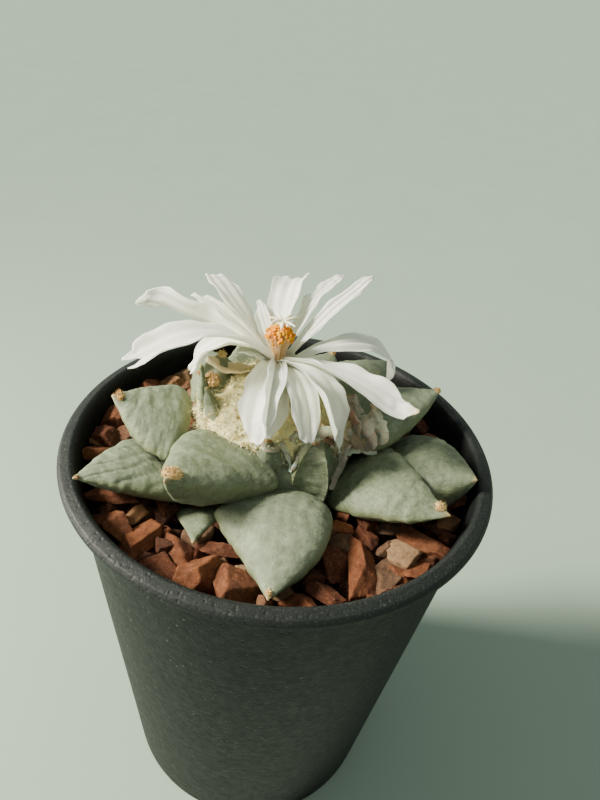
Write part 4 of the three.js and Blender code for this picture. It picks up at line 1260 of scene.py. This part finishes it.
# Remains of old flowers, lying on the wool and the tubercles: pixels along each shred, width in
# millimetres, tint, and how far it stands off
SHREDS = {
    "withered_flower_right": [
        (((353, 396), (358, 411), (364, 428), (371, 449)), 4.4, "pink", 0.7),
        (((370, 405), (375, 418), (379, 431), (381, 445)), 3, "cream", 0.5),
        (((347, 420), (354, 430), (361, 440), (366, 450)), 2.6, "brown", 0.3),
        (((340, 405), (349, 416), (355, 431), (356, 447)), 2.4, "pink", 0.6),
        (((330, 446), (345, 449), (360, 449), (376, 452)), 1.6, "cream", 0.4),
    ],
    "withered_flower_front": [
        (((287, 441), (303, 434), (321, 434), (345, 441)), 3.2, "cream", 0.5),
        (((352, 438), (343, 451), (337, 468), (333, 490)), 1.8, "pink", 0.5),
        (((346, 430), (350, 441), (344, 456), (339, 470)), 1.2, "white", 0.6),
        (((306, 436), (316, 440), (326, 441), (333, 447)), 1.4, "rust", 0.6),
    ],
    "withered_shred": [
        (((282, 448), (286, 457), (290, 464), (293, 470)), 0.9, "white", 0.5),
        (((299, 458), (297, 463), (295, 467), (293, 470)), 0.6, "white", 0.5),
        (((262, 445), (270, 448), (278, 447), (286, 451)), 1.6, "cream", 0.3),
    ],
}


def smooth_path(knots, count):
    """Points along a Catmull-Rom curve through knots"""
    knots = np.concatenate([2 * knots[:1] - knots[1:2], knots, 2 * knots[-1:] - knots[-2:-1]])
    t = np.linspace(0, len(knots) - 3 - 1e-6, count)
    i, f = t.astype(int), (t % 1)[:, None]
    a, b, c, d = (knots[i + k] for k in range(4))
    return 0.5 * (2 * b + (c - a) * f + (2 * a - 5 * b + 4 * c - d) * f**2 + (3 * b - a - 3 * c + d) * f**3)


def shred(heap, knots, width, tint, seed):
    """A crumpled papery strip along knots"""
    path = smooth_path(knots, SHRED["rows"])
    path += 0.25 * noise(path / 1.4, seed)[:, None]
    along = unit(np.gradient(path, axis=0))
    side = unit(np.cross(along, unit(EYE - path)))
    t = np.linspace(0, 1, SHRED["rows"])
    turn = 0.9 * noise(path / 2.4, seed + 1) + 0.5 * np.sin(t * 5 + seed)
    side = spun(side, along, turn)
    up = np.cross(side, along)
    a = np.linspace(-1, 1, SHRED["columns"])[None]
    half = width / 2 * (0.25 + 0.75 * np.sin(held(t * 0.92 + 0.04) * math.pi) ** 0.6)[:, None]
    run = t[:, None] * np.linalg.norm(knots[-1] - knots[0]) + 0 * a
    flat = np.stack([run, a * half, 0 * a * half + seed], -1)
    edge = np.stack([run / 0.8, np.sign(a) + 0 * half, 0 * a * half], -1)
    half = half * (1 + 0.28 * noise(edge, seed + 2))
    lift = 0.34 * width**0.5 * noise(flat / [2.4, 1.1, 1], seed + 3) + 0.09 * noise(flat / 0.6, seed + 4)
    lift = lift - 0.3 * a**2 * half
    surface = path[:, None] + side[:, None] * (a * half)[..., None] + up[:, None] * lift[..., None]
    shade = 0.75 + 0.35 * noise(flat / [2.2, 0.6, 1], seed + 5)
    heap.add_sheet(surface, SHRED["thick"] + 0 * half, linear(DRY_TINTS[tint]) * shade[..., None])


def make_remains(material, trees):
    for node, strips in SHREDS.items():
        heap = Heap()
        for index, (pixels, width, tint, stand) in enumerate(strips):
            seen = [found for found in (first_hit(trees, px) for px in pixels) if found]
            knots = [place + stand * unit(facing + unit(EYE - place)) for place, facing in seen]
            shred(heap, np.array(knots), width, tint, 60 + 9 * index)
        heap.build(node + "_full", material, "withered", [node])


# Light and floor

# The lamps' places, the size of the glow and the floor's half width are metres
SKY = dict(tint=(0.74, 0.82, 0.76, 1), strength=0.6)
SUN = dict(azimuth=182, height=37, angle=14, energy=9.5, tint=(1.0, 0.95, 0.82))
GLOW = dict(place=(-0.3, -0.02, 0.165), target=(0, 0, 0.103), size=0.12, power=1.8, tint=(1.0, 0.93, 0.78))
FLOOR = 60


def aim(lamp, direction):
    """Turns a lamp so that it shines from a direction"""
    lamp.rotation_euler = direction.to_track_quat("Z", "Y").to_euler()


def make_studio():
    world = bpy.data.worlds.new("studio")
    bpy.context.scene.world = world
    world.use_nodes = True
    sky = world.node_tree.nodes["Background"]
    sky.inputs["Color"].default_value = SKY["tint"]
    sky.inputs["Strength"].default_value = SKY["strength"]
    light = bpy.data.lights.new("window", "SUN")
    light.energy, light.angle, light.color = SUN["energy"], math.radians(SUN["angle"]), SUN["tint"]
    bearing, height = math.radians(SUN["azimuth"]), math.radians(SUN["height"])
    aim(put_in_scene("window", light), Vector(around(bearing, math.cos(height), math.sin(height))))
    low = bpy.data.lights.new("glow", "AREA")
    low.shape, low.size, low.energy, low.color = "DISK", GLOW["size"], GLOW["power"], GLOW["tint"]
    low_lamp = put_in_scene("glow", low)
    low_lamp.location = GLOW["place"]
    aim(low_lamp, Vector(GLOW["place"]) - Vector(GLOW["target"]))
    mesh = bpy.data.meshes.new("floor")
    corners = [(x * FLOOR, y * FLOOR, 0) for x, y in ((-1, -1), (1, -1), (1, 1), (-1, 1))]
    mesh.from_pydata(corners, [], [(0, 1, 2, 3)])
    mesh.materials.append(floor_paint())
    put_in_scene("floor", mesh)


place_camera()
make_studio()
make_pot(pot_plastic())
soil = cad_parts["soil"].data
soil.materials.clear()
soil.materials.append(earth())
skin = flesh()
make_stem(skin)
bodies = [tubercle(shape, skin, 100 + 11 * index) for index, shape in enumerate(TUBERCLES)]
make_gravel(rock())
make_bloom(tepal_skin())
make_stamens(tinted("stamen_grain", 0.5, (206, 112, 8), 0.12, pale=(252, 186, 56)))
make_pistil(tinted("stigma", 0.6, (226, 216, 170), 0.05))
wool_tree = make_wool(wool_felt())
trees = make_areoles(tinted("areole_felt", 0.5, (150, 112, 66), 0.1, 0.95), bodies)
make_remains(dry_paper(), trees + [wool_tree])
